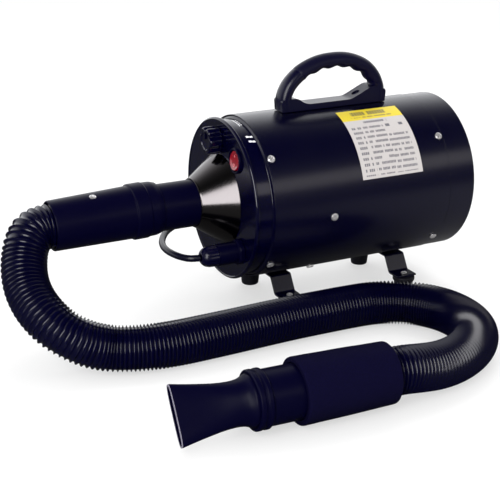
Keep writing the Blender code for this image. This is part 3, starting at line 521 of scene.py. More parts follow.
def put(name, bm, look, slot, at=(0, 0, 0), turn=(0, 0, 0), ride="dryer", stands_for=(),
        sharp=50.0, edge=0.0, even=True):
    """Make a smooth piece from a bmesh in millimetres, and ride it on a body."""
    bmesh.ops.remove_doubles(bm, verts=bm.verts, dist=0.0005)
    bmesh.ops.recalc_face_normals(bm, faces=bm.faces)
    bmesh.ops.scale(bm, vec=(MM, MM, MM), verts=bm.verts)
    mesh = mesh_from(name, bm, finish(look))
    mesh.shade_smooth()
    mesh.set_sharp_from_angle(angle=math.radians(sharp))
    piece = add_object(name, mesh)
    piece.location = Vector(at) * MM
    piece.rotation_euler = [math.radians(angle) for angle in turn]
    if edge:
        bevel = piece.modifiers.new("soft_edges", "BEVEL")
        bevel.width = edge * MM
        bevel.segments = 3
        bevel.limit_method = "ANGLE"
        bevel.angle_limit = math.radians(40)
    if even:
        even_normals(piece)
    if ride:
        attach(piece, ride)
    if stands_for:
        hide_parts(*stands_for)
    return piece


def rounded(outline, steps=3):
    """Round each corner of a closed outline of (u, v) or (u, v, fillet) points."""
    result = []
    count = len(outline)
    for i, corner in enumerate(outline):
        here = Vector(corner[:2])
        fillet = corner[2] if len(corner) > 2 else 0.0
        before = Vector(outline[i - 1][:2]) - here
        after = Vector(outline[(i + 1) % count][:2]) - here
        if fillet <= 0.0:
            result.append(tuple(here))
            continue
        reach = min(fillet, 0.48 * before.length, 0.48 * after.length)
        start = here + before.normalized() * reach
        end = here + after.normalized() * reach
        for k in range(steps + 1):
            t = k / steps
            point = start * (1 - t) ** 2 + here * (2 * t * (1 - t)) + end * t ** 2
            result.append(tuple(point))
    return result


def turns(sides):
    """Angles at equal steps once round a circle."""
    return [2 * math.pi * k / sides for k in range(sides)]


def heading(path, i):
    """Direction of a path at one of its points."""
    ahead, behind = path[min(i + 1, len(path) - 1)], path[max(i - 1, 0)]
    return (ahead - behind).normalized()


def spin_outline(bm, outline, facets, radius_at=None):
    """Turn a closed (x, radius) outline about X; points on the axis close into tips."""
    rows = []
    for x, radius in outline:
        if radius < 1e-6:
            rows.append([bm.verts.new((x, 0.0, 0.0))] * facets)
            continue
        row = []
        for angle in turns(facets):
            reach = radius_at(x, radius, angle) if radius_at else radius
            row.append(bm.verts.new((x, -reach * math.cos(angle), reach * math.sin(angle))))
        rows.append(row)
    for i, near in enumerate(rows):
        far = rows[(i + 1) % len(rows)]
        for k in range(facets):
            m = (k + 1) % facets
            corners = []
            for vert in (near[k], near[m], far[m], far[k]):
                if vert not in corners:
                    corners.append(vert)
            if len(corners) > 2:
                bm.faces.new(corners)


def turned(name, outline, look, slot, facets=64, radius_at=None, **more):
    bm = bmesh.new()
    spin_outline(bm, rounded(outline), facets, radius_at)
    return put(name, bm, look, slot, **more)


def circle(x, radius, sides, rise=0.0):
    """Points of a circle round X, at equal steps from +Y; rise lifts its centre."""
    return [Vector((x, radius * math.cos(turn), rise + radius * math.sin(turn)))
            for turn in turns(sides)]


def bridge(bm, rings, walled=False):
    """Join rings of equal length; walled joins the last back to the first, else caps."""
    rows = [[bm.verts.new(point) for point in ring] for ring in rings]
    count = len(rows[0])
    for i in range(len(rows) if walled else len(rows) - 1):
        near, far = rows[i], rows[(i + 1) % len(rows)]
        for j in range(count):
            k = (j + 1) % count
            bm.faces.new((near[j], near[k], far[k], far[j]))
    if not walled:
        bm.faces.new(rows[0])
        bm.faces.new(rows[-1])


def slab(bm, outline, low, high, to_world):
    """A flat outline given thickness along its own third axis."""
    rings = []
    for depth in (low, high):
        rings.append([to_world @ Vector((u, v, depth)) for u, v in outline])
    bridge(bm, rings)


ALONG_X = Matrix(((0, 0, 1), (1, 0, 0), (0, 1, 0)))


def smooth_route(points, spacing):
    """Points at equal steps along a smooth curve through the given ones."""
    knots = [Vector(p) for p in points]
    size = len(knots)
    lengths = [(knots[i + 1] - knots[i]).length for i in range(size - 1)]
    slopes = []
    for i in range(size):
        before = (knots[i] - knots[i - 1]) / lengths[i - 1] if i > 0 else None
        after = (knots[i + 1] - knots[i]) / lengths[i] if i < size - 1 else None
        if before is None or after is None:
            slopes.append((after or before).copy())
        else:
            share = lengths[i - 1] / (lengths[i - 1] + lengths[i])
            slopes.append(before * (1 - share) + after * share)
    fine = [knots[0]]
    for i in range(size - 1):
        for step in range(1, 13):
            t = step / 12
            h00 = (1 + 2 * t) * (1 - t) ** 2
            h10 = t * (1 - t) ** 2
            h01 = t * t * (3 - 2 * t)
            h11 = t * t * (t - 1)
            fine.append(knots[i] * h00 + slopes[i] * (h10 * lengths[i])
                        + knots[i + 1] * h01 + slopes[i + 1] * (h11 * lengths[i]))
    travelled = [0.0]
    for a, b in zip(fine, fine[1:]):
        travelled.append(travelled[-1] + (b - a).length)
    count = max(2, round(travelled[-1] / spacing))
    spread, at = [], 0
    for k in range(count + 1):
        want = travelled[-1] * k / count
        while at < len(fine) - 2 and travelled[at + 1] < want:
            at += 1
        share = (want - travelled[at]) / (travelled[at + 1] - travelled[at])
        spread.append(fine[at].lerp(fine[at + 1], min(1.0, share)))
    return spread


def route_length(points):
    return sum((b - a).length for a, b in zip(points, points[1:]))


def carried_frames(path):
    """(point, side, up) along a path, turned as little as possible from each to the next."""
    ways = [heading(path, i) for i in range(len(path))]
    side = ways[0].cross(Vector((0, 0, 1))).normalized()
    frames = []
    for i, way in enumerate(ways):
        if i:
            side = ways[i - 1].rotation_difference(way) @ side
        side = (side - way * side.dot(way)).normalized()
        frames.append((path[i], side, side.cross(way)))
    return frames


def apply_boolean(piece, tool, operation):
    """Cut or join a piece with a tool mesh, then drop the tool."""
    modifier = piece.modifiers.new("shape", "BOOLEAN")
    modifier.operation = operation
    modifier.object = tool
    modifier.solver = "EXACT"
    bpy.context.view_layer.update()
    graph = bpy.context.evaluated_depsgraph_get()
    made = bpy.data.meshes.new_from_object(piece.evaluated_get(graph), depsgraph=graph)
    piece.modifiers.remove(modifier)
    piece.data = made
    bpy.data.objects.remove(tool)


def radial(angle, radius):
    """(y, z) at an angle from the near side, rising over the top."""
    turn = math.radians(angle)
    return (-radius * math.cos(turn), radius * math.sin(turn))


def curved_patch(bm, x0, x1, angle0, angle1, radius, thickness, columns=1, rows=1, skew=0.0):
    """A thin sheet that follows the round body."""
    layers = []
    for reach in (radius, radius + thickness):
        grid = []
        for i in range(rows + 1):
            angle = angle0 + (angle1 - angle0) * i / rows
            line = []
            for j in range(columns + 1):
                x = x0 + (x1 - x0) * j / columns + skew * i / rows
                line.append(bm.verts.new((x, *radial(angle, reach))))
            grid.append(line)
        layers.append(grid)
    low, high = layers
    for i in range(rows):
        for j in range(columns):
            for grid in (low, high):
                bm.faces.new((grid[i][j], grid[i][j + 1], grid[i + 1][j + 1], grid[i + 1][j]))
    border = ([(0, j) for j in range(columns + 1)] + [(i, columns) for i in range(1, rows + 1)]
              + [(rows, j) for j in range(columns - 1, -1, -1)]
              + [(i, 0) for i in range(rows - 1, 0, -1)])
    for k, (i, j) in enumerate(border):
        m, n = border[(k + 1) % len(border)]
        bm.faces.new((low[i][j], low[m][n], high[m][n], high[i][j]))


# ------------------------------------------------------------------ stage

def aim(thing, place, target):
    """Put a camera or a lamp at a place, looking at a target."""
    thing.location = place
    way = Vector(target) - Vector(place)
    thing.rotation_euler = way.to_track_quat("-Z", "Y").to_euler()


def build_camera(stage):
    data = bpy.data.cameras.new("dryer_camera")
    data.lens = stage.lens
    data.sensor_width = 36.0
    camera = add_object("dryer_camera", data)
    aim(camera, (-0.57185, -1.0770, 0.5035), (-0.03855, 0.0, 0.0584))
    bpy.context.scene.camera = camera


def area_light(name, place, target, wide, tall, power, tint=(1, 1, 1), mirrored=True):
    data = bpy.data.lights.new(name, "AREA")
    data.shape = "RECTANGLE"
    data.size, data.size_y = wide, tall
    data.energy = power
    data.color = tint
    lamp = add_object(name, data)
    lamp.visible_glossy = mirrored
    aim(lamp, place, target)


def build_surroundings():
    """A pale room: bright low behind, dim overhead; plain white where it is looked at."""
    world = bpy.data.worlds.new("pale_room")
    world.use_nodes = True
    tree = world.node_tree
    tree.nodes.clear()
    way = add_node(tree, "ShaderNodeTexCoord").outputs["Generated"]
    part = add_node(tree, "ShaderNodeSeparateXYZ", {0: way})
    low = map_range(tree, part.outputs[2], 0.45, 0.92, 1.0, 0.0, interpolation_type="SMOOTHSTEP")
    back = map_range(tree, part.outputs[1], -0.15, 0.5, 0.06, 1.0,
                     interpolation_type="SMOOTHSTEP")
    glow = add_math(tree, "MULTIPLY", low, back)
    glow = add_math(tree, "MULTIPLY", glow, 1.6)
    light_path = add_node(tree, "ShaderNodeLightPath")
    soft, seen, fill = (
        add_node(tree, "ShaderNodeBackground", {"Color": colour, "Strength": strength})
        for colour, strength in (((0.97, 0.98, 1.0, 1.0), glow), (WHITE, 1.0), (WHITE, 1.25)))
    inner = add_node(tree, "ShaderNodeMixShader", {
        0: light_path.outputs["Is Diffuse Ray"], 1: soft.outputs[0], 2: fill.outputs[0]})
    both = add_node(tree, "ShaderNodeMixShader", {
        0: light_path.outputs["Is Camera Ray"], 1: inner.outputs[0], 2: seen.outputs[0]})
    result = add_node(tree, "ShaderNodeOutputWorld")
    tree.links.new(both.outputs[0], result.inputs["Surface"])
    bpy.context.scene.world = world


def build_floor(stage):
    """Pale matte floor, held back a little in reflections so that the paint stays deep."""
    material, tree, shader = start_material("Pale Floor")
    place = object_place(tree)
    cloud = add_node(tree, "ShaderNodeTexNoise", {"Vector": place, "Scale": 3.0, "Detail": 4.0})
    drift = map_range(tree, cloud.outputs[0], 0.3, 0.7, 0.0, 0.02)
    pale = mix_colours(tree, drift, (*stage.floor, 1.0), (0.7, 0.7, 0.7, 1.0))
    set_inputs(tree, shader, {"Base Color": pale, "Roughness": 0.7, "Specular IOR Level": 0.2})
    part = add_node(tree, "ShaderNodeSeparateXYZ", {0: place})
    right = map_range(tree, part.outputs[0], -0.1, 0.6, 0.05, 0.26,
                      interpolation_type="SMOOTHSTEP")
    near = map_range(tree, part.outputs[1], -1.0, -0.25, 0.15, 1.0)
    level = add_math(tree, "MULTIPLY", right, near)
    grey = add_node(tree, "ShaderNodeCombineXYZ", {0: level, 1: level, 2: level})
    dim = add_node(tree, "ShaderNodeBsdfDiffuse", {"Color": grey.outputs[0]})
    light_path = add_node(tree, "ShaderNodeLightPath")
    lift = add_node(tree, "ShaderNodeEmission", {"Color": WHITE, "Strength": 0.9})
    lifted = add_node(tree, "ShaderNodeMixShader", {
        0: 0.62, 1: shader.outputs[0], 2: lift.outputs[0]})
    seen = add_node(tree, "ShaderNodeMixShader", {
        0: light_path.outputs["Is Camera Ray"], 1: shader.outputs[0], 2: lifted.outputs[0]})
    both = add_node(tree, "ShaderNodeMixShader", {
        0: light_path.outputs["Is Glossy Ray"], 1: seen.outputs[0], 2: dim.outputs[0]})
    tree.links.new(both.outputs[0], tree.nodes["Material Output"].inputs["Surface"])
    bm = bmesh.new()
    bmesh.ops.create_grid(bm, x_segments=8, y_segments=8, size=4.0)
    add_object("pale_floor", mesh_from("pale_floor", bm, material))


class DRYER_OT_stage(Operator):
    """Build the camera, the soft lights, the pale room and the floor"""
    bl_idname = "dryer.stage"
    bl_label = "Stage"

    def execute(self, context):
        stage = context.scene.dryer_stage
        context.scene.view_settings.view_transform = "Standard"
        build_camera(stage)
        area_light("key_softbox", (-1.25, -1.25, 0.82), (-0.1, 0.0, 0.11), 0.75, 1.55,
                   stage.key_power)
        area_light("strip_softbox", (0.66, -1.33, 0.72), (0.02, 0.0, 0.13), 1.3, 0.42, 2.2,
                   (1.0, 0.96, 0.93))
        area_light("top_softbox", (0.5, 0.7, 1.6), (0.0, 0.0, 0.1), 1.2, 0.8, 16.0,
                   mirrored=False)
        build_surroundings()
        build_floor(stage)
        return {"FINISHED"}


# ------------------------------------------------------------------ hose and lead

RIB_PROFILE = ((0.0, 1.0), (0.28, 0.90), (0.41, 0.30), (0.52, 0.0), (0.63, 0.30), (0.76, 0.90))
HANGING_LENGTH, HANGING_FADE = 150.0, 70.0
LOW_LAYER, HIGH_LAYER = 3.8, 10.8


def build_hose(settings):
    """Tube of round ribs along the route, set wider apart where it hangs and bends."""
    crest, depth = settings.diameter / MM / 2, settings.rib_depth / MM
    route = [Vector(point) / MM for point in HOSE_ROUTE]
    path = smooth_route(route, 0.9)
    step = route_length(path) / (len(path) - 1)
    frames = carried_frames(path)

    def place_at(distance):
        at = min(max(distance / step, 0.0), len(frames) - 1.001)
        i, share = int(at), at - int(at)
        return [a.lerp(b, share) for a, b in zip(frames[i], frames[i + 1])]

    sides = 40
    total = step * (len(path) - 1)
    rings, distance = [], 0.0
    while distance < total - 3.0:
        hang = 1.0 - min(1.0, max(0.0, (distance - HANGING_LENGTH) / HANGING_FADE))
        pitch = settings.rib_pitch / MM * (1.0 + (settings.rib_stretch - 1.0) * hang)
        for share, low in RIB_PROFILE:
            point, side, up = place_at(distance + share * pitch)
            reach = crest - depth * low
            rings.append([point + side * (reach * math.cos(t)) + up * (reach * math.sin(t))
                          for t in turns(sides)])
        distance += pitch
    bm = bmesh.new()
    bridge(bm, rings)
    hose = put("ribbed_hose", bm, "hose", "black_plastic", stands_for=("hose_tube",), sharp=80,
               even=False)
    centre = [list(point * MM) for point in path[::8] + [path[-1]]]
    return hose, centre


def coil_points():
    """Three turns inwards on the floor, then three outwards on top of them."""
    radii = (44.0, 37.0, 30.0, 30.0, 37.0, 44.0)
    points = []
    per_turn = 24
    total = 6 * per_turn + per_turn // 4
    for k in range(1, total + 1):
        turn = k / per_turn
        lap = min(int(turn), 5)
        share = turn - lap
        here = radii[lap]
        after = radii[min(lap + 1, 5)]
        blend = max(0.0, min(1.0, (share - 0.72) / 0.28))
        blend = blend * blend * (3 - 2 * blend)
        radius = here + (after - here) * blend
        rise = 0.0 if lap < 2 else blend if lap == 2 else 1.0
        angle = math.radians(-90) + 2 * math.pi * turn
        points.append(Vector((COIL_AT.x + radius * math.cos(angle),
                              COIL_AT.y + radius * math.sin(angle),
                              LOW_LAYER + (HIGH_LAYER - LOW_LAYER) * rise)))
    return points


def build_lead(settings):
    """One open spline: out of the gland, round behind, through the coil and to the plug."""
    out = smooth_route(LEAD_ROUTE, 0.011)
    coil = [point * MM for point in coil_points()]
    tail = smooth_route(TAIL_ROUTE, 0.009)
    points = smooth_route(out + coil + tail, 0.0045)
    data = bpy.data.curves.new("mains_lead", "CURVE")
    data.dimensions = "3D"
    data.bevel_depth = settings.diameter / 2
    data.bevel_resolution = 5
    data.use_fill_caps = True
    spline = data.splines.new("POLY")
    spline.points.add(len(points) - 1)
    for slot, point in zip(spline.points, points):
        slot.co = (*point, 1.0)
    spline.use_smooth = True
    data.materials.append(finish("lead"))
    lead = add_object("mains_lead", data)
    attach(lead, "dryer")
    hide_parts("power_cord", "lead_coil", "power_cord_tail")
    return lead, route_length(points)


def superellipse(x, wide, high, power, sides):
    """Rounded rectangle across X; power 1 is an ellipse, less is squarer."""
    ring = []
    for angle in turns(sides):
        c, s = math.cos(angle), math.sin(angle)
        ring.append(Vector((x, math.copysign(abs(c) ** power, c) * wide,
                            math.copysign(abs(s) ** power, s) * high)))
    return ring


def build_plug():
    """Moulded plug with a ribbed strain relief, and its three flat pins on a carrier."""
    rings = []
    for k in range(15):
        x = 22.0 * k / 14
        groove = 0.7 if 0 < k < 14 and k % 2 else 0.0
        radius = 4.6 + 2.4 * (k / 14) - groove
        rings.append(superellipse(x, radius, radius, 1.0, 40))
    for x, wide, high, power in ((23.5, 8.6, 8.2, 0.9), (26.0, 11.3, 10.4, 0.7),
                                 (29.0, 13.3, 11.6, 0.62), (31.0, 13.8, 11.9, 0.6),
                                 (41.0, 14.0, 12.0, 0.58), (41.8, 13.7, 11.7, 0.58)):
        rings.append(superellipse(x, wide, high, power, 40))
    bm = bmesh.new()
    bridge(bm, rings)
    body = put("moulded_plug", bm, "moulding", "black_plastic", at=PLUG_AT, turn=(0, 0, 90),
               stands_for=("plug_body",), sharp=35, edge=0.3)
    bm = bmesh.new()
    bridge(bm, [superellipse(x, wide, high, 0.55, 40)
                for x, wide, high in ((42.3, 11.8, 9.8), (42.6, 12.0, 10.0), (43.8, 12.0, 10.0),
                                      (44.3, 11.6, 9.6))])
    for y, z, lean in ((-6.9, 3.4, 30), (6.9, 3.4, -30), (0.0, -6.6, 0)):
        turn = Matrix.Rotation(math.radians(lean), 3, "X")
        rings = []
        for x, wide, high in ((43.5, 0.8, 3.2), (60.5, 0.8, 3.2), (62.2, 0.55, 2.7)):
            rings.append([turn @ Vector((x, point.y, point.z)) + Vector((0, y, z))
                          for point in superellipse(x, wide, high, 0.3, 20)])
        bridge(bm, rings)
    pins = put("plug_blades", bm, "brass", "brass", at=PLUG_AT, turn=(0, 0, 90),
               stands_for=("plug_pins",), sharp=35)
    return body, pins


def build_tie():
    """Strap round all the turns of the coil, with its free end lying on top."""
    bm = bmesh.new()
    inner, outer = (
        rounded([(near, low, bend), (far, low, bend), (far, high, top), (near, high, top)], 5)
        for near, far, low, high, bend, top in (
            (25.9, 48.1, 0.25, 14.5, 2.5, 3.0), (25.0, 49.0, 0.02, 15.3, 3.2, 3.6)))
    turn = Matrix.Rotation(math.radians(128), 3, "Z")
    rings = []
    for outline, half in ((outer, 6.4), (outer, -6.4), (inner, -6.4), (inner, 6.4)):
        rings.append([turn @ Vector((u, half, v)) + COIL_AT for u, v in outline])
    bridge(bm, rings, walled=True)
    flap = rounded([(31.0, 15.4, 0.2), (45.5, 15.4, 0.2), (45.0, 16.2, 0.3), (31.4, 16.2, 0.3)])
    rings = [[turn @ Vector((u, half, v)) + COIL_AT for u, v in flap] for half in (-5.6, 5.6)]
    bridge(bm, rings)
    return put("lead_tie", bm, "tie", "rubber", sharp=40, edge=0.15)


class DRYER_OT_cords(Operator):
    """Build the ribbed hose, the mains lead with its coil and tie, and the plug"""
    bl_idname = "dryer.cords"
    bl_label = "Hose and Lead"

    def execute(self, context):
        scene = context.scene
        hose, centre = build_hose(scene.dryer_hose)
        lead, lead_length = build_lead(scene.dryer_lead)
        plug, pins = build_plug()
        tie = build_tie()
        scene["hose_centre"] = json.dumps(centre)
        return {"FINISHED"}


# ------------------------------------------------------------------ grip and nozzle

def build_grip_tube():
    outline = [
        (-24.0, 22.6, 0.3), (-24.0, 24.9, 0.6), (96.0, 24.9, 0.8), (96.0, 22.9, 0.6),
        (-10.0, 22.9, 0.3), (-10.0, 22.6, 0.0),
    ]
    return turned("grip_barrel", outline, "moulding", "black_plastic", 96, at=GRIP_AT,
                  turn=GRIP_TURN, stands_for=("grip_tube",))


def build_foam():
    """Foam sleeve: softly rounded ends, slightly barrelled, with a faint uneven skin."""
    outline = [(5.6, 25.3, 0.6), (5.6, 30.3, 4.2)]
    outline += [(5.6 + 92.0 * t, 30.3 - 1.9 * t + 0.25 * math.sin(math.pi * t), 0.0)
                for t in (k / 23 for k in range(2, 22))]
    outline += [(97.6, 28.4, 4.2), (97.6, 25.3, 0.6)]

    def uneven(x, radius, angle):
        spot = Vector((x * 0.05, math.cos(angle) * 1.6, math.sin(angle) * 1.6))
        lump = 0.22 * noise.noise(spot) + 0.07 * noise.noise(spot * 5.0)
        return radius + (lump if radius > 26.5 else 0.0)

    sleeve = turned("foam_sleeve", outline, "foam", "foam", 96, uneven, at=GRIP_AT,
                    turn=GRIP_TURN, stands_for=("foam_grip",), sharp=60)
    return sleeve


def build_collar():
    outline = [
        (-36.8, 23.9, 0.2), (-36.8, 25.6, 0.5), (-35.8, 26.8, 0.6), (-32.2, 26.8, 0.6),
        (-31.4, 25.7, 0.4), (-29.4, 25.7, 0.4), (-28.6, 26.8, 0.6), (-25.3, 26.8, 0.6),
        (-24.3, 25.8, 0.5), (-24.3, 23.9, 0.2),
    ]
    return turned("nozzle_ring", outline, "moulding", "black_plastic", 96, at=GRIP_AT,
                  turn=GRIP_TURN, ride="nozzle_head", stands_for=("nozzle_collar",))


NOZZLE_SECTIONS = (
    (-26.0, 23.6, 23.6, 1.0), (-37.5, 23.6, 23.6, 1.0), (-39.3, 22.9, 22.5, 1.0),
    (-41.5, 21.6, 20.2, 1.0), (-45.0, 20.5, 18.4, 0.99), (-49.5, 19.9, 16.8, 0.97),
    (-54.0, 19.8, 15.4, 0.95), (-60.5, 20.1, 13.2, 0.91), (-68.0, 20.9, 11.0, 0.85),
    (-76.5, 22.2, 9.1, 0.80), (-86.0, 23.8, 7.4, 0.75), (-95.5, 25.5, 6.4, 0.67),
    (-102.9, 27.0, 5.7, 0.60), (-104.0, 27.1, 5.6, 0.60), (-104.5, 26.8, 5.3, 0.60),
)


def build_nozzle():
    """Flat nozzle: round socket easing into a long narrow mouth, hollow right through."""
    wall = 1.6
    outer = [superellipse(x, thick, wide, power, 80) for x, wide, thick, power in NOZZLE_SECTIONS]
    inner = [superellipse(x, thick - wall, wide - wall, power, 80)
             for x, wide, thick, power in NOZZLE_SECTIONS[:-2]]
    lip = superellipse(-104.5, 5.4 - wall, 26.9 - wall, 0.6, 80)
    bm = bmesh.new()
    bridge(bm, outer + [lip] + inner[::-1], walled=True)
    bmesh.ops.rotate(bm, verts=bm.verts, matrix=Matrix.Rotation(math.radians(-36), 3, "X"))
    nozzle = put("flat_nozzle", bm, "moulding", "black_plastic", at=GRIP_AT,
                 turn=GRIP_TURN, ride="nozzle_head", stands_for=("nozzle",), sharp=60)
    # The faces of the mouth's lip take the lighter finish: a painted highlight along the rim.
    nozzle.data.materials.append(finish("rim_highlight"))
    for face in nozzle.data.polygons:
        if face.center.x < -103.9 * MM:
            face.material_index = 1
    return nozzle


class DRYER_OT_grip(Operator):
    """Build the grip barrel, its foam sleeve, the collar and the flat nozzle"""
    bl_idname = "dryer.grip"
    bl_label = "Grip and Nozzle"

    def execute(self, context):
        hose, cuff = bpy.data.objects["ribbed_hose"], bpy.data.objects["soft_cuff"]
        pieces = [cuff, build_grip_tube(), build_foam(), build_collar(), build_nozzle()]
        centre = json.loads(context.scene["hose_centre"])
        return {"FINISHED"}


# ------------------------------------------------------------------ body

class DRYER_OT_body(Operator):
    """Build the round casing, its two covers and the air intake"""
    bl_idname = "dryer.body"
    bl_label = "Body"

    def execute(self, context):
        body = context.scene.dryer_body
        radius = body.radius / MM
        self.build_casing(radius, body.facets)
        self.build_front(body.facets)
        self.build_rear(body.facets)
        self.build_grille()
        return {"FINISHED"}

    def build_casing(self, radius, facets):
        outline = [(20.0, radius, 0.4), (20.0, radius - 1.2, 0.3), (228.0, radius - 1.2, 0.3),
                   (228.0, radius, 0.5)]
        turned("round_casing", outline, "paint", "black_paint", facets, at=BODY_AT,
               stands_for=("body_shell",))

    def build_front(self, facets):
        outline = [
            (0.0, 38.0, 0.2), (0.0, 81.6, 0.4), (-0.9, 82.2, 0.4), (-0.9, 82.9, 0.6),
            (0.7, 84.5, 1.1), (2.8, 84.5, 0.8), (3.6, 81.0, 0.8), (19.0, 81.0, 0.8),
            (20.6, 83.5, 0.2), (34.0, 83.5, 0.2), (34.0, 82.1), (21.4, 82.1), (19.8, 79.6),
            (3.2, 79.6), (1.6, 78.0), (1.6, 38.0, 0.2),
        ]
        turned("face_cover", outline, "cover", "black_paint", facets, at=BODY_AT,
               stands_for=("front_cover",), sharp=35)

    def build_rear(self, facets):
        outline = [
            (215.0, 83.5, 0.2), (228.3, 83.5), (228.3, 84.5, 0.4), (258.5, 84.5, 1.0),
            (259.5, 83.5, 0.8), (259.5, 73.5, 0.5), (258.1, 73.5, 0.3), (258.1, 82.8),
            (231.0, 82.8), (229.0, 82.0), (215.0, 82.0, 0.2),
        ]
        turned("intake_cover", outline, "paint", "black_paint", facets, at=BODY_AT,
               stands_for=("rear_cover",), sharp=35)

    def build_grille(self):
        """Round grille: concentric bars on radial ribs, all slightly rounded."""
        radii = [14.0 + 4.8 * k for k in range(13)]
        sectors = 18
        columns = 8 * sectors
        bm = bmesh.new()
        hub = bm.verts.new((0, 0, 0))
        rows = []
        for radius in radii + [81.8]:
            rows.append([bm.verts.new(point) for point in circle(0.0, radius, columns)])
        for k in range(columns):
            bm.faces.new((hub, rows[0][k], rows[0][(k + 1) % columns]))
        for ring in range(len(rows) - 1):
            for k in range(columns):
                slot_here = ring % 2 == 0 and k % 8 != 0 and ring < len(rows) - 2
                if not slot_here:
                    m = (k + 1) % columns
                    bm.faces.new((rows[ring][k], rows[ring][m], rows[ring + 1][m],
                                  rows[ring + 1][k]))
        grown = bmesh.ops.extrude_face_region(bm, geom=list(bm.faces))
        moved = [item for item in grown["geom"] if isinstance(item, bmesh.types.BMVert)]
        bmesh.ops.translate(bm, verts=moved, vec=(2.0, 0, 0))
        put("slotted_grille", bm, "moulding", "black_plastic",
            at=BODY_AT + Vector((255.8, 0, 0)), stands_for=("intake_grille",), sharp=35, edge=0.35)


class DRYER_OT_outlet(Operator):
    """Build the outlet cone, its stub and the hose cuff"""
    bl_idname = "dryer.outlet"
    bl_label = "Outlet"

    def execute(self, context):
        facets = context.scene.dryer_body.facets
        cone = [
            (-0.3, 48.0, 0.3), (-0.3, 46.4, 0.2), (-33.0, 24.5, 0.2), (-33.0, 25.5, 0.4),
            (-32.0, 25.9, 0.5),
        ]
        turned("outlet_funnel", cone, "cone", "satin_metal", facets, at=BODY_AT,
               stands_for=("outlet_cone",), sharp=35)
        stub = [(-115.0, 24.2, 0.5), (-26.0, 24.2, 0.3), (-26.0, 22.8, 0.3), (-115.0, 22.8, 0.4)]
        turned("outlet_pipe", stub, "moulding", "black_paint", 96, at=BODY_AT,
               stands_for=("outlet_stub",))
        self.build_cuff()
        return {"FINISHED"}

    def build_cuff(self):
        """Soft cuff: flared lip, raised band and a long plain taper to the hose."""
        outline = [
            (-72.0, 25.3, 0.1), (-72.2, 25.9, 0.3), (-77.5, 27.4, 1.5), (-86.0, 27.6, 0.3),
            (-86.8, 28.4, 0.5), (-100.5, 28.4, 0.6), (-101.6, 26.8, 0.6), (-183.0, 25.1, 1.0),
            (-184.0, 24.4, 0.6), (-184.0, 23.2, 0.3), (-128.0, 23.2), (-126.0, 25.3),
        ]
        shifted = [(point[0] - CUFF_PIVOT, *point[1:]) for point in outline]
        turned("soft_cuff", shifted, "moulding", "black_plastic", 112, at=CUFF_AT,
               turn=CUFF_TURN, stands_for=("hose_cuff",), sharp=35)


# ------------------------------------------------------------------ controls

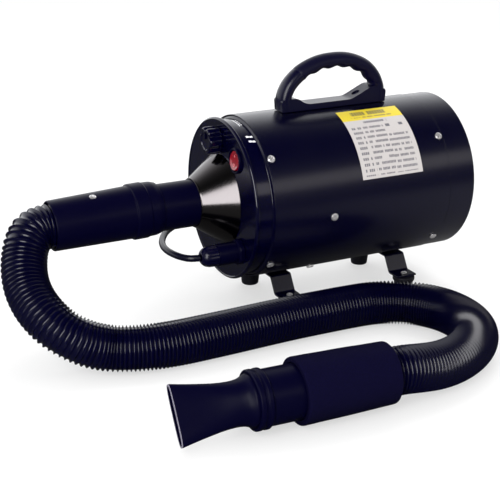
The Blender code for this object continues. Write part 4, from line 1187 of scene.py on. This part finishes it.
class DRYER_OT_controls(Operator):
    """Build the speed knob, the rocker switch, the cable gland and the printed marks"""
    bl_idname = "dryer.controls"
    bl_label = "Controls"

    def execute(self, context):
        controls = context.scene.dryer_controls
        self.build_knob(controls)
        self.build_switch()
        self.build_gland()
        self.build_marks()
        return {"FINISHED"}

    def build_knob(self, controls):
        """Fluted knob: rounded lobes, dished cap with a pointer rib."""
        radius = controls.knob_radius / MM
        lobes = controls.knob_lobes
        sides = lobes * 16
        rings = []
        for x, scale, flute in ((-1.2, 0.95, 0.6), (-1.8, 0.99, 0.9), (-2.6, 1.0, 1.0),
                                (-12.0, 1.0, 1.0), (-13.6, 0.975, 1.0), (-14.6, 0.93, 0.9),
                                (-15.0, 0.86, 0.8), (-15.0, 0.70, 0.4), (-14.2, 0.62, 0.0),
                                (-14.0, 0.50, 0.0), (-14.0, 0.05, 0.0)):
            ring = []
            for turn in turns(sides):
                cut = (0.5 - 0.5 * math.cos(lobes * turn)) ** 2.2
                reach = scale * radius - 3.0 * flute * cut * scale
                ring.append(Vector((x, reach * math.cos(turn), reach * math.sin(turn))))
            rings.append(ring)
        bm = bmesh.new()
        bridge(bm, rings)
        pointer = rounded([(-0.8, 2.0, 0.4), (0.8, 2.0, 0.4), (0.8, 10.0, 0.7), (-0.8, 10.0, 0.7)])
        slab(bm, pointer, -14.1, -15.3, ALONG_X)
        put("fluted_knob", bm, "cover", "black_plastic", at=KNOB_AT, ride="knob",
            stands_for=("speed_knob",), sharp=40)

    def build_switch(self):
        bezel = [
            (-2.2, 10.9, 0.2), (-3.0, 11.6, 0.5), (-2.2, 13.2, 0.7), (-0.3, 13.2, 0.2),
            (-0.3, 12.4), (22.0, 12.4, 0.8), (22.0, 0.0), (9.0, 0.0), (9.0, 10.9),
        ]
        turned("switch_bezel", bezel, "moulding", "black_plastic", 72, at=SWITCH_AT,
               stands_for=("switch_body",), sharp=35)
        rings = []
        for x in (4.5, 3.0, 1.5, 0.0, -1.2, -2.4, -3.3):
            reach = math.sqrt(10.4 ** 2 - x * x) - 0.05
            rings.append(circle(x, reach, 64))
        for scale in (0.96, 0.90, 0.72, 0.54, 0.36, 0.18, 0.02):
            ring = []
            for point in rings[6]:
                height = abs(point.z * scale) / 9.8
                dish = -3.6 + 1.2 * (1 - height ** 2) * min(1.0, (1 - scale) * 8)
                ring.append(Vector((dish, point.y * scale, point.z * scale)))
            rings.append(ring)
        bm = bmesh.new()
        bridge(bm, rings)
        at = SWITCH_AT + Vector((1.0, 0, 0))
        put("red_rocker", bm, "rocker", "red_plastic", at=at, turn=(0, 8.0, 0), ride="rocker",
            stands_for=("switch_rocker",), sharp=40)
        bm = bmesh.new()
        stroke = rounded([(-0.35, 3.4, 0.2), (0.35, 3.4, 0.2), (0.35, 6.4, 0.2),
                          (-0.35, 6.4, 0.2)])
        slab(bm, stroke, -3.3, -3.05, ALONG_X)
        rows = []
        for reach, x in ((1.7, -3.05), (1.7, -3.3), (1.1, -3.3), (1.1, -3.05)):
            rows.append(circle(x, reach, 24, -4.9))
        bridge(bm, rows, walled=True)
        put("rocker_marks", bm, "faint", "red_plastic", at=at, turn=(0, 8.0, 0), ride="rocker")

    def build_gland(self):
        """Six-sided gland body and a domed nut with gripping flutes."""
        body = [
            (12.0, 4.2), (12.0, 8.2, 0.4), (-0.3, 8.2), (-0.3, 13.5, 0.4), (-4.2, 13.5, 0.8),
            (-5.4, 12.6, 0.5), (-5.4, 11.3, 0.3), (-27.0, 11.3, 0.6), (-27.0, 4.2),
        ]

        def six_sided(x, radius, angle):
            if radius < 12.0:
                return radius
            side = (angle + math.pi / 6) % (math.pi / 3) - math.pi / 6
            return min(radius, radius * 0.93 / math.cos(side))

        turned("gland_shoulder", body, "moulding", "black_plastic", 96, six_sided, at=GLAND_AT,
               stands_for=("gland_body",), sharp=35)
        nut = [
            (-27.3, 3.9), (-27.3, 11.0, 0.5), (-36.5, 10.7, 1.5), (-40.6, 9.2, 2.0),
            (-43.2, 6.8, 1.2), (-44.0, 5.0, 0.5), (-44.0, 3.9),
        ]

        def fluted(x, radius, angle):
            if radius < 10.0:
                return radius
            return radius - 0.5 * (0.5 - 0.5 * math.cos(12 * angle)) ** 3

        turned("gland_cap", nut, "gloss", "black_plastic", 96, fluted, at=GLAND_AT,
               stands_for=("gland_nut",), sharp=35)

    def build_marks(self):
        """Plain printed dashes on the cover's waist."""
        bm = bmesh.new()
        radius, thickness = 81.05, 0.08
        for x, angle in ((11.6, 62.9), (15.3, 62.5), (12.0, 58.1), (15.7, 57.7)):
            curved_patch(bm, x, x + 3.2, angle, angle + 1.7, radius, thickness, 2, 3, -0.5)
        for k in range(7):
            curved_patch(bm, 13.2, 14.6 + 0.5 * (k % 2), 78.0 + 2.2 * k, 79.2 + 2.2 * k, radius,
                         thickness, 1, 2)
        for k in range(4):
            curved_patch(bm, 16.0, 17.2, 79.0 + 3.1 * k, 80.6 + 3.1 * k, radius, thickness, 1, 2)
        put("waist_marks", bm, "print", "black_paint", at=BODY_AT)


# ------------------------------------------------------------------ handle

ARCH = (
    (73.0, 88.0), (72.3, 98.0), (76.5, 108.7), (86.5, 119.5), (101.0, 127.8), (115.0, 132.0),
    (129.0, 133.3), (143.0, 132.6), (157.0, 128.8), (169.5, 122.0), (179.0, 111.5),
    (184.3, 98.5), (184.0, 88.0),
)


def arch_sections(path, first, last, width, outward, inward, sides=32):
    rings = []
    for i in range(first, last + 1):
        way = heading(path, i)
        up = Vector((-way.z, 0, way.x))
        ring = []
        for turn in turns(sides):
            thick = outward(i) if math.sin(turn) >= 0 else inward(i)
            ring.append(path[i] + Vector((0, width(i) * math.cos(turn), 0))
                        + up * (thick * math.sin(turn)))
        rings.append(ring)
    return rings


class DRYER_OT_handle(Operator):
    """Build the handle's frame and its finger-grooved grip"""
    bl_idname = "dryer.handle"
    bl_label = "Handle"

    def execute(self, context):
        path = smooth_route([(x, 0.0, z) for x, z in ARCH], 1.0)
        last = len(path) - 1
        start, end = round(0.235 * last), round(0.89 * last)
        self.build_frame(path, last, start, end)
        self.build_sleeve(path, start, end)
        return {"FINISHED"}

    def build_frame(self, path, last, start, end):
        def core(i):
            return start + 2 <= i <= end - 2

        def width(i):
            return 8.0 if core(i) else 10.0

        def thick(i):
            return 5.5 if core(i) else 7.7

        bm = bmesh.new()
        bridge(bm, arch_sections(path, 0, last, width, thick, thick))
        frame_piece = put("handle_arch", bm, "gloss", "black_plastic", at=BODY_AT,
                          stands_for=("handle_frame",), sharp=40, even=False)
        outline = rounded([
            (66.5, 85.3, 0.6), (190.5, 85.3, 0.6), (191.6, 98.0, 3.0), (176.5, 104.0, 5.0),
            (168.0, 100.3, 4.0), (158.0, 95.4, 4.0), (149.0, 91.4, 3.0), (97.0, 91.4, 3.0),
            (90.5, 93.6, 3.0), (83.0, 99.0, 4.0), (65.6, 98.0, 3.0),
        ], 5)
        rings = []
        for y, inset in ((-9.5, 0.9), (-9.2, 0.35), (-8.5, 0.0), (8.5, 0.0), (9.2, 0.35),
                         (9.5, 0.9)):
            middle = Vector((128.5, 94.0))
            ring = []
            for u, v in outline:
                pull = (middle - Vector((u, v))).normalized() * inset
                ring.append(Vector((u + pull.x, y, v + pull.y)))
            rings.append(ring)
        bm = bmesh.new()
        bridge(bm, rings)
        base = put("handle_base", bm, "gloss", "black_plastic", at=BODY_AT, ride=None,
                   even=False)
        apply_boolean(frame_piece, base, "UNION")
        bm = bmesh.new()
        for x, z, lean in ((89.5, 95.6, 34.0), (158.5, 96.6, -26.0)):
            slope = Matrix.Rotation(math.radians(lean), 3, "Y")
            rings = []
            for depth in (-2.6, 6.0):
                rings.append([Vector((x, 0, z)) + slope @ Vector((4.6 * math.cos(t),
                                                                  4.0 * math.sin(t), depth))
                              for t in turns(28)])
            bridge(bm, rings)
        pockets = put("handle_pockets", bm, "gloss", "black_plastic", at=BODY_AT, ride=None,
                      even=False)
        apply_boolean(frame_piece, pockets, "DIFFERENCE")
        frame_piece.data.shade_smooth()
        frame_piece.data.set_sharp_from_angle(angle=math.radians(40))
        even_normals(frame_piece)

    def build_sleeve(self, path, start, end):
        """Rubber sleeve, waved under the fingers, with a bead at each end."""
        pitch = 19.0

        def edge(i):
            return min(1.0, min(i - start, end - i) / 2.5)

        def outward(i):
            return 7.0 + 0.8 * edge(i)

        def inward(i):
            wave = 1.0 * math.cos(2 * math.pi * (i - start) / pitch)
            return 6.6 + (0.8 + wave) * edge(i)

        def width(i):
            return 9.5 + 0.7 * edge(i)

        outer = arch_sections(path, start + 1, end - 1, width, outward, inward, 48)
        inner = arch_sections(path, start + 1, end - 1, lambda _: 8.3, lambda _: 5.8,
                              lambda _: 5.8, 48)
        bm = bmesh.new()
        bridge(bm, outer + inner[::-1], walled=True)
        put("finger_grip", bm, "soft", "rubber", at=BODY_AT, stands_for=("handle_grip",),
            sharp=50)


# ------------------------------------------------------------------ stand and screws

STAND_ENDS = (("front", 57.0), ("rear", 199.5))
STAND_DROP, FOOT_GAP = 103.5, 0.3
FOOT_SIDES = (("near", -47.0), ("far", 47.0))


class DRYER_OT_stand(Operator):
    """Build the two bent brackets and the four rubber feet"""
    bl_idname = "dryer.stand"
    bl_label = "Stand"

    def execute(self, context):
        for name, x in STAND_ENDS:
            self.build_bracket(name, x)
            for side, y in FOOT_SIDES:
                self.build_foot(f"{name}_{side}", x, y)
        return {"FINISHED"}

    def build_bracket(self, name, x):
        half = [(26.5, -85.3, 1.6), (36.5, -101.5, 1.2), (53.5, -101.5, 0.6),
                (53.5, -STAND_DROP, 0.6), (35.2, -STAND_DROP, 2.6), (25.2, -87.3, 1.0)]
        mirrored = [(-y, z, fillet) for y, z, fillet in reversed(half)]
        outline = rounded(half + mirrored, 5)
        bm = bmesh.new()
        slab(bm, outline, -12.0, 12.0, ALONG_X)
        bracket = put(f"bracket_{name}", bm, "paint", "black_paint",
                      at=BODY_AT + Vector((x, 0, 0)), stands_for=(f"stand_{name}",), sharp=30,
                      edge=0.35)
        bracket.modifiers["soft_edges"].angle_limit = math.radians(60)

    def build_foot(self, name, x, y):
        top = BODY_AT.z - STAND_DROP - FOOT_GAP
        outline = [
            (top, 2.3), (top, 11.4, 0.6), (top - 1.0, 12.0, 0.8), (top - 4.2, 12.0, 1.0),
            (top - 5.4, 10.6, 0.8), (1.0, 9.4, 0.8), (0.0, 8.4, 0.5), (0.0, 0.0), (5.0, 0.0),
            (5.0, 2.3),
        ]
        turned(f"rubber_foot_{name}", outline, "rubber", "rubber", 56,
               at=(BODY_AT.x + x, y, 0), turn=(0, -90, 0), stands_for=(f"foot_{name}",))


def outward_place(x, angle, radius):
    """Where a screw sits on a round wall, with its head pointing outwards."""
    outward = Vector((0, *radial(angle, 1.0)))
    spot = Vector((x, *radial(angle, radius)))
    return Matrix.Translation(spot) @ outward.to_track_quat("X", "Z").to_matrix().to_4x4()


def screw_head(bm, place, head_radius, head_height, shank, length, spin=0.0):
    """Domed cross-recess screw: rings of a head whose middle dips along two bars."""
    sides = 40
    levels = [0.0, 0.12, 0.24, 0.36, 0.48, 0.6, 0.74, 0.86, 0.95, 1.0]
    rings = []
    for level in reversed(levels[1:]):
        reach = level * head_radius
        ring = []
        for turn in turns(sides):
            u, v = reach * math.cos(turn), reach * math.sin(turn)
            bar = min(abs(u), abs(v))
            dip = 0.0
            if bar < 0.17 * head_radius and reach < 0.62 * head_radius:
                dip = 0.55 * head_height * (1.0 - 0.5 * reach / (0.62 * head_radius))
            x = head_height * (1.0 - 0.55 * level ** 3) - dip
            ring.append(Vector((x, u, v)))
        rings.append(ring)
    rings.insert(0, [Vector((0.15, p.y, p.z)) for p in rings[0]])
    rings.insert(0, [Vector((0.0, p.y * 0.97, p.z * 0.97)) for p in rings[0]])
    for x, reach in ((0.0, shank), (-length, shank)):
        rings.insert(0, circle(x, reach, sides))
    rings.append([Vector((0.45 * head_height, p.y * 0.2, p.z * 0.2)) for p in rings[-1]])
    twist = Matrix.Rotation(math.radians(spin), 4, "X")
    bridge(bm, [[place @ (twist @ point) for point in ring] for ring in rings])


class DRYER_OT_screws(Operator):
    """Build the plated cross-recess screws in the casing, the feet and the cuff"""
    bl_idname = "dryer.screws"
    bl_label = "Screws"

    def execute(self, context):
        ring_angles = (40.7, 139.3, 220.7, 319.3)
        motor_angles = (-5.0, -65.0, 185.0, 245.0)
        places = []
        for end, x in (("front", 24.8), ("rear", 222.8)):
            for k, angle in enumerate(ring_angles):
                places.append((f"{end}_screw_{k + 1}", x, angle))
        for k, angle in enumerate(motor_angles):
            places.append((f"motor_screw_{k + 1}", 87.0, angle))
        bm = bmesh.new()
        for k, (_, x, angle) in enumerate(places):
            screw_head(bm, outward_place(x, angle, 85.3), 3.9, 1.9, 1.8, 7.0, 37.0 * k)
        put("casing_screws", bm, "nickel", "zinc_steel", at=BODY_AT, sharp=30,
            stands_for=[name for name, _, _ in places])
        bm = bmesh.new()
        names = []
        for end, x in STAND_ENDS:
            for side, y in FOOT_SIDES:
                place = (Matrix.Translation(Vector((x, y, -101.2)))
                         @ Matrix.Rotation(math.radians(-90), 4, "Y"))
                screw_head(bm, place, 3.3, 1.9, 1.9, 12.0, 20.0 + 31.0 * len(names))
                names.append(f"foot_screw_{end}_{side}")
        put("stand_screws", bm, "nickel", "zinc_steel", at=BODY_AT, sharp=30, stands_for=names)
        bm = bmesh.new()
        screw_head(bm, outward_place(-42.6, 74.0, 25.65), 3.4, 1.3, 1.6, 2.0, 15.0)
        put("cuff_screw", bm, "nickel", "zinc_steel", at=CUFF_AT, turn=CUFF_TURN, sharp=30)
        return {"FINISHED"}


LABEL_RADIUS = 85.06


class DRYER_OT_label(Operator):
    """Build the printed label that is stuck on the casing"""
    bl_idname = "dryer.label"
    bl_label = "Label"

    def execute(self, context):
        left, right, top, bottom = 121.8, 194.3, 75.0, 17.3
        bm = bmesh.new()
        curved_patch(bm, left, right, top, bottom, LABEL_RADIUS, 0.14, 24, 40)
        label = put("rating_label", bm, "label", "black_plastic", at=BODY_AT)
        spots = label.data.attributes.new("label_place", "FLOAT_VECTOR", "POINT")
        for index, vert in enumerate(label.data.vertices):
            x, y, z = vert.co / MM
            angle = math.degrees(math.atan2(z, -y))
            spots.data[index].vector = (x - left, math.radians(top - angle) * LABEL_RADIUS, 0.0)
        return {"FINISHED"}


# ------------------------------------------------------------------ pieces that stay

STAYING = {
    "filter_foam": "filter",
    "motor_housing": "steel",
    "motor_mount": "rubber",
    "rotor": "windings",
    "impeller": "alloy",
    "bearing_front": "steel",
    "bearing_rear": "steel",
    "speed_control": "alloy",
    "speed_board": "board",
    "handle_bolt_front": "nickel",
    "handle_bolt_rear": "nickel",
    "stand_bolt_front": "nickel",
    "stand_bolt_rear": "nickel",
}


class DRYER_OT_inside(Operator):
    """Give the motor, fan, filter, bolts and the controls behind the face their finishes"""
    bl_idname = "dryer.inside"
    bl_label = "Inside"

    def execute(self, context):
        for node, look in STAYING.items():
            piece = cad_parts[node]
            piece.data.materials.clear()
            piece.data.materials.append(finish(look))
        return {"FINISHED"}


STEPS = (
    DRYER_OT_stage, DRYER_OT_cords, DRYER_OT_outlet, DRYER_OT_grip, DRYER_OT_body,
    DRYER_OT_controls, DRYER_OT_handle, DRYER_OT_stand, DRYER_OT_screws, DRYER_OT_label,
    DRYER_OT_inside,
)


class DRYER_PT_panel(Panel):
    """Settings and build steps of the pet dryer"""
    bl_idname = "DRYER_PT_panel"
    bl_label = "Pet Dryer"
    bl_space_type = "VIEW_3D"
    bl_region_type = "UI"
    bl_category = "Pet Dryer"

    def draw(self, context):
        for key, group in SETTINGS.items():
            box = self.layout.box()
            box.label(text=group.__doc__)
            for field in group.__annotations__:
                box.prop(getattr(context.scene, key), field)
        for step in STEPS:
            self.layout.operator(step.bl_idname)


def register():
    for group in SETTINGS.values():
        bpy.utils.register_class(group)
    for key, group in SETTINGS.items():
        setattr(bpy.types.Scene, key, PointerProperty(type=group))
    for step in STEPS:
        bpy.utils.register_class(step)
    bpy.utils.register_class(DRYER_PT_panel)


def unregister():
    bpy.utils.unregister_class(DRYER_PT_panel)
    for step in reversed(STEPS):
        bpy.utils.unregister_class(step)
    for key, group in SETTINGS.items():
        delattr(bpy.types.Scene, key)
        bpy.utils.unregister_class(group)


def main():
    register()
    for step in STEPS:
        family, action = step.bl_idname.split(".")
        getattr(getattr(bpy.ops, family), action)()


if __name__ == "__main__":
    main()
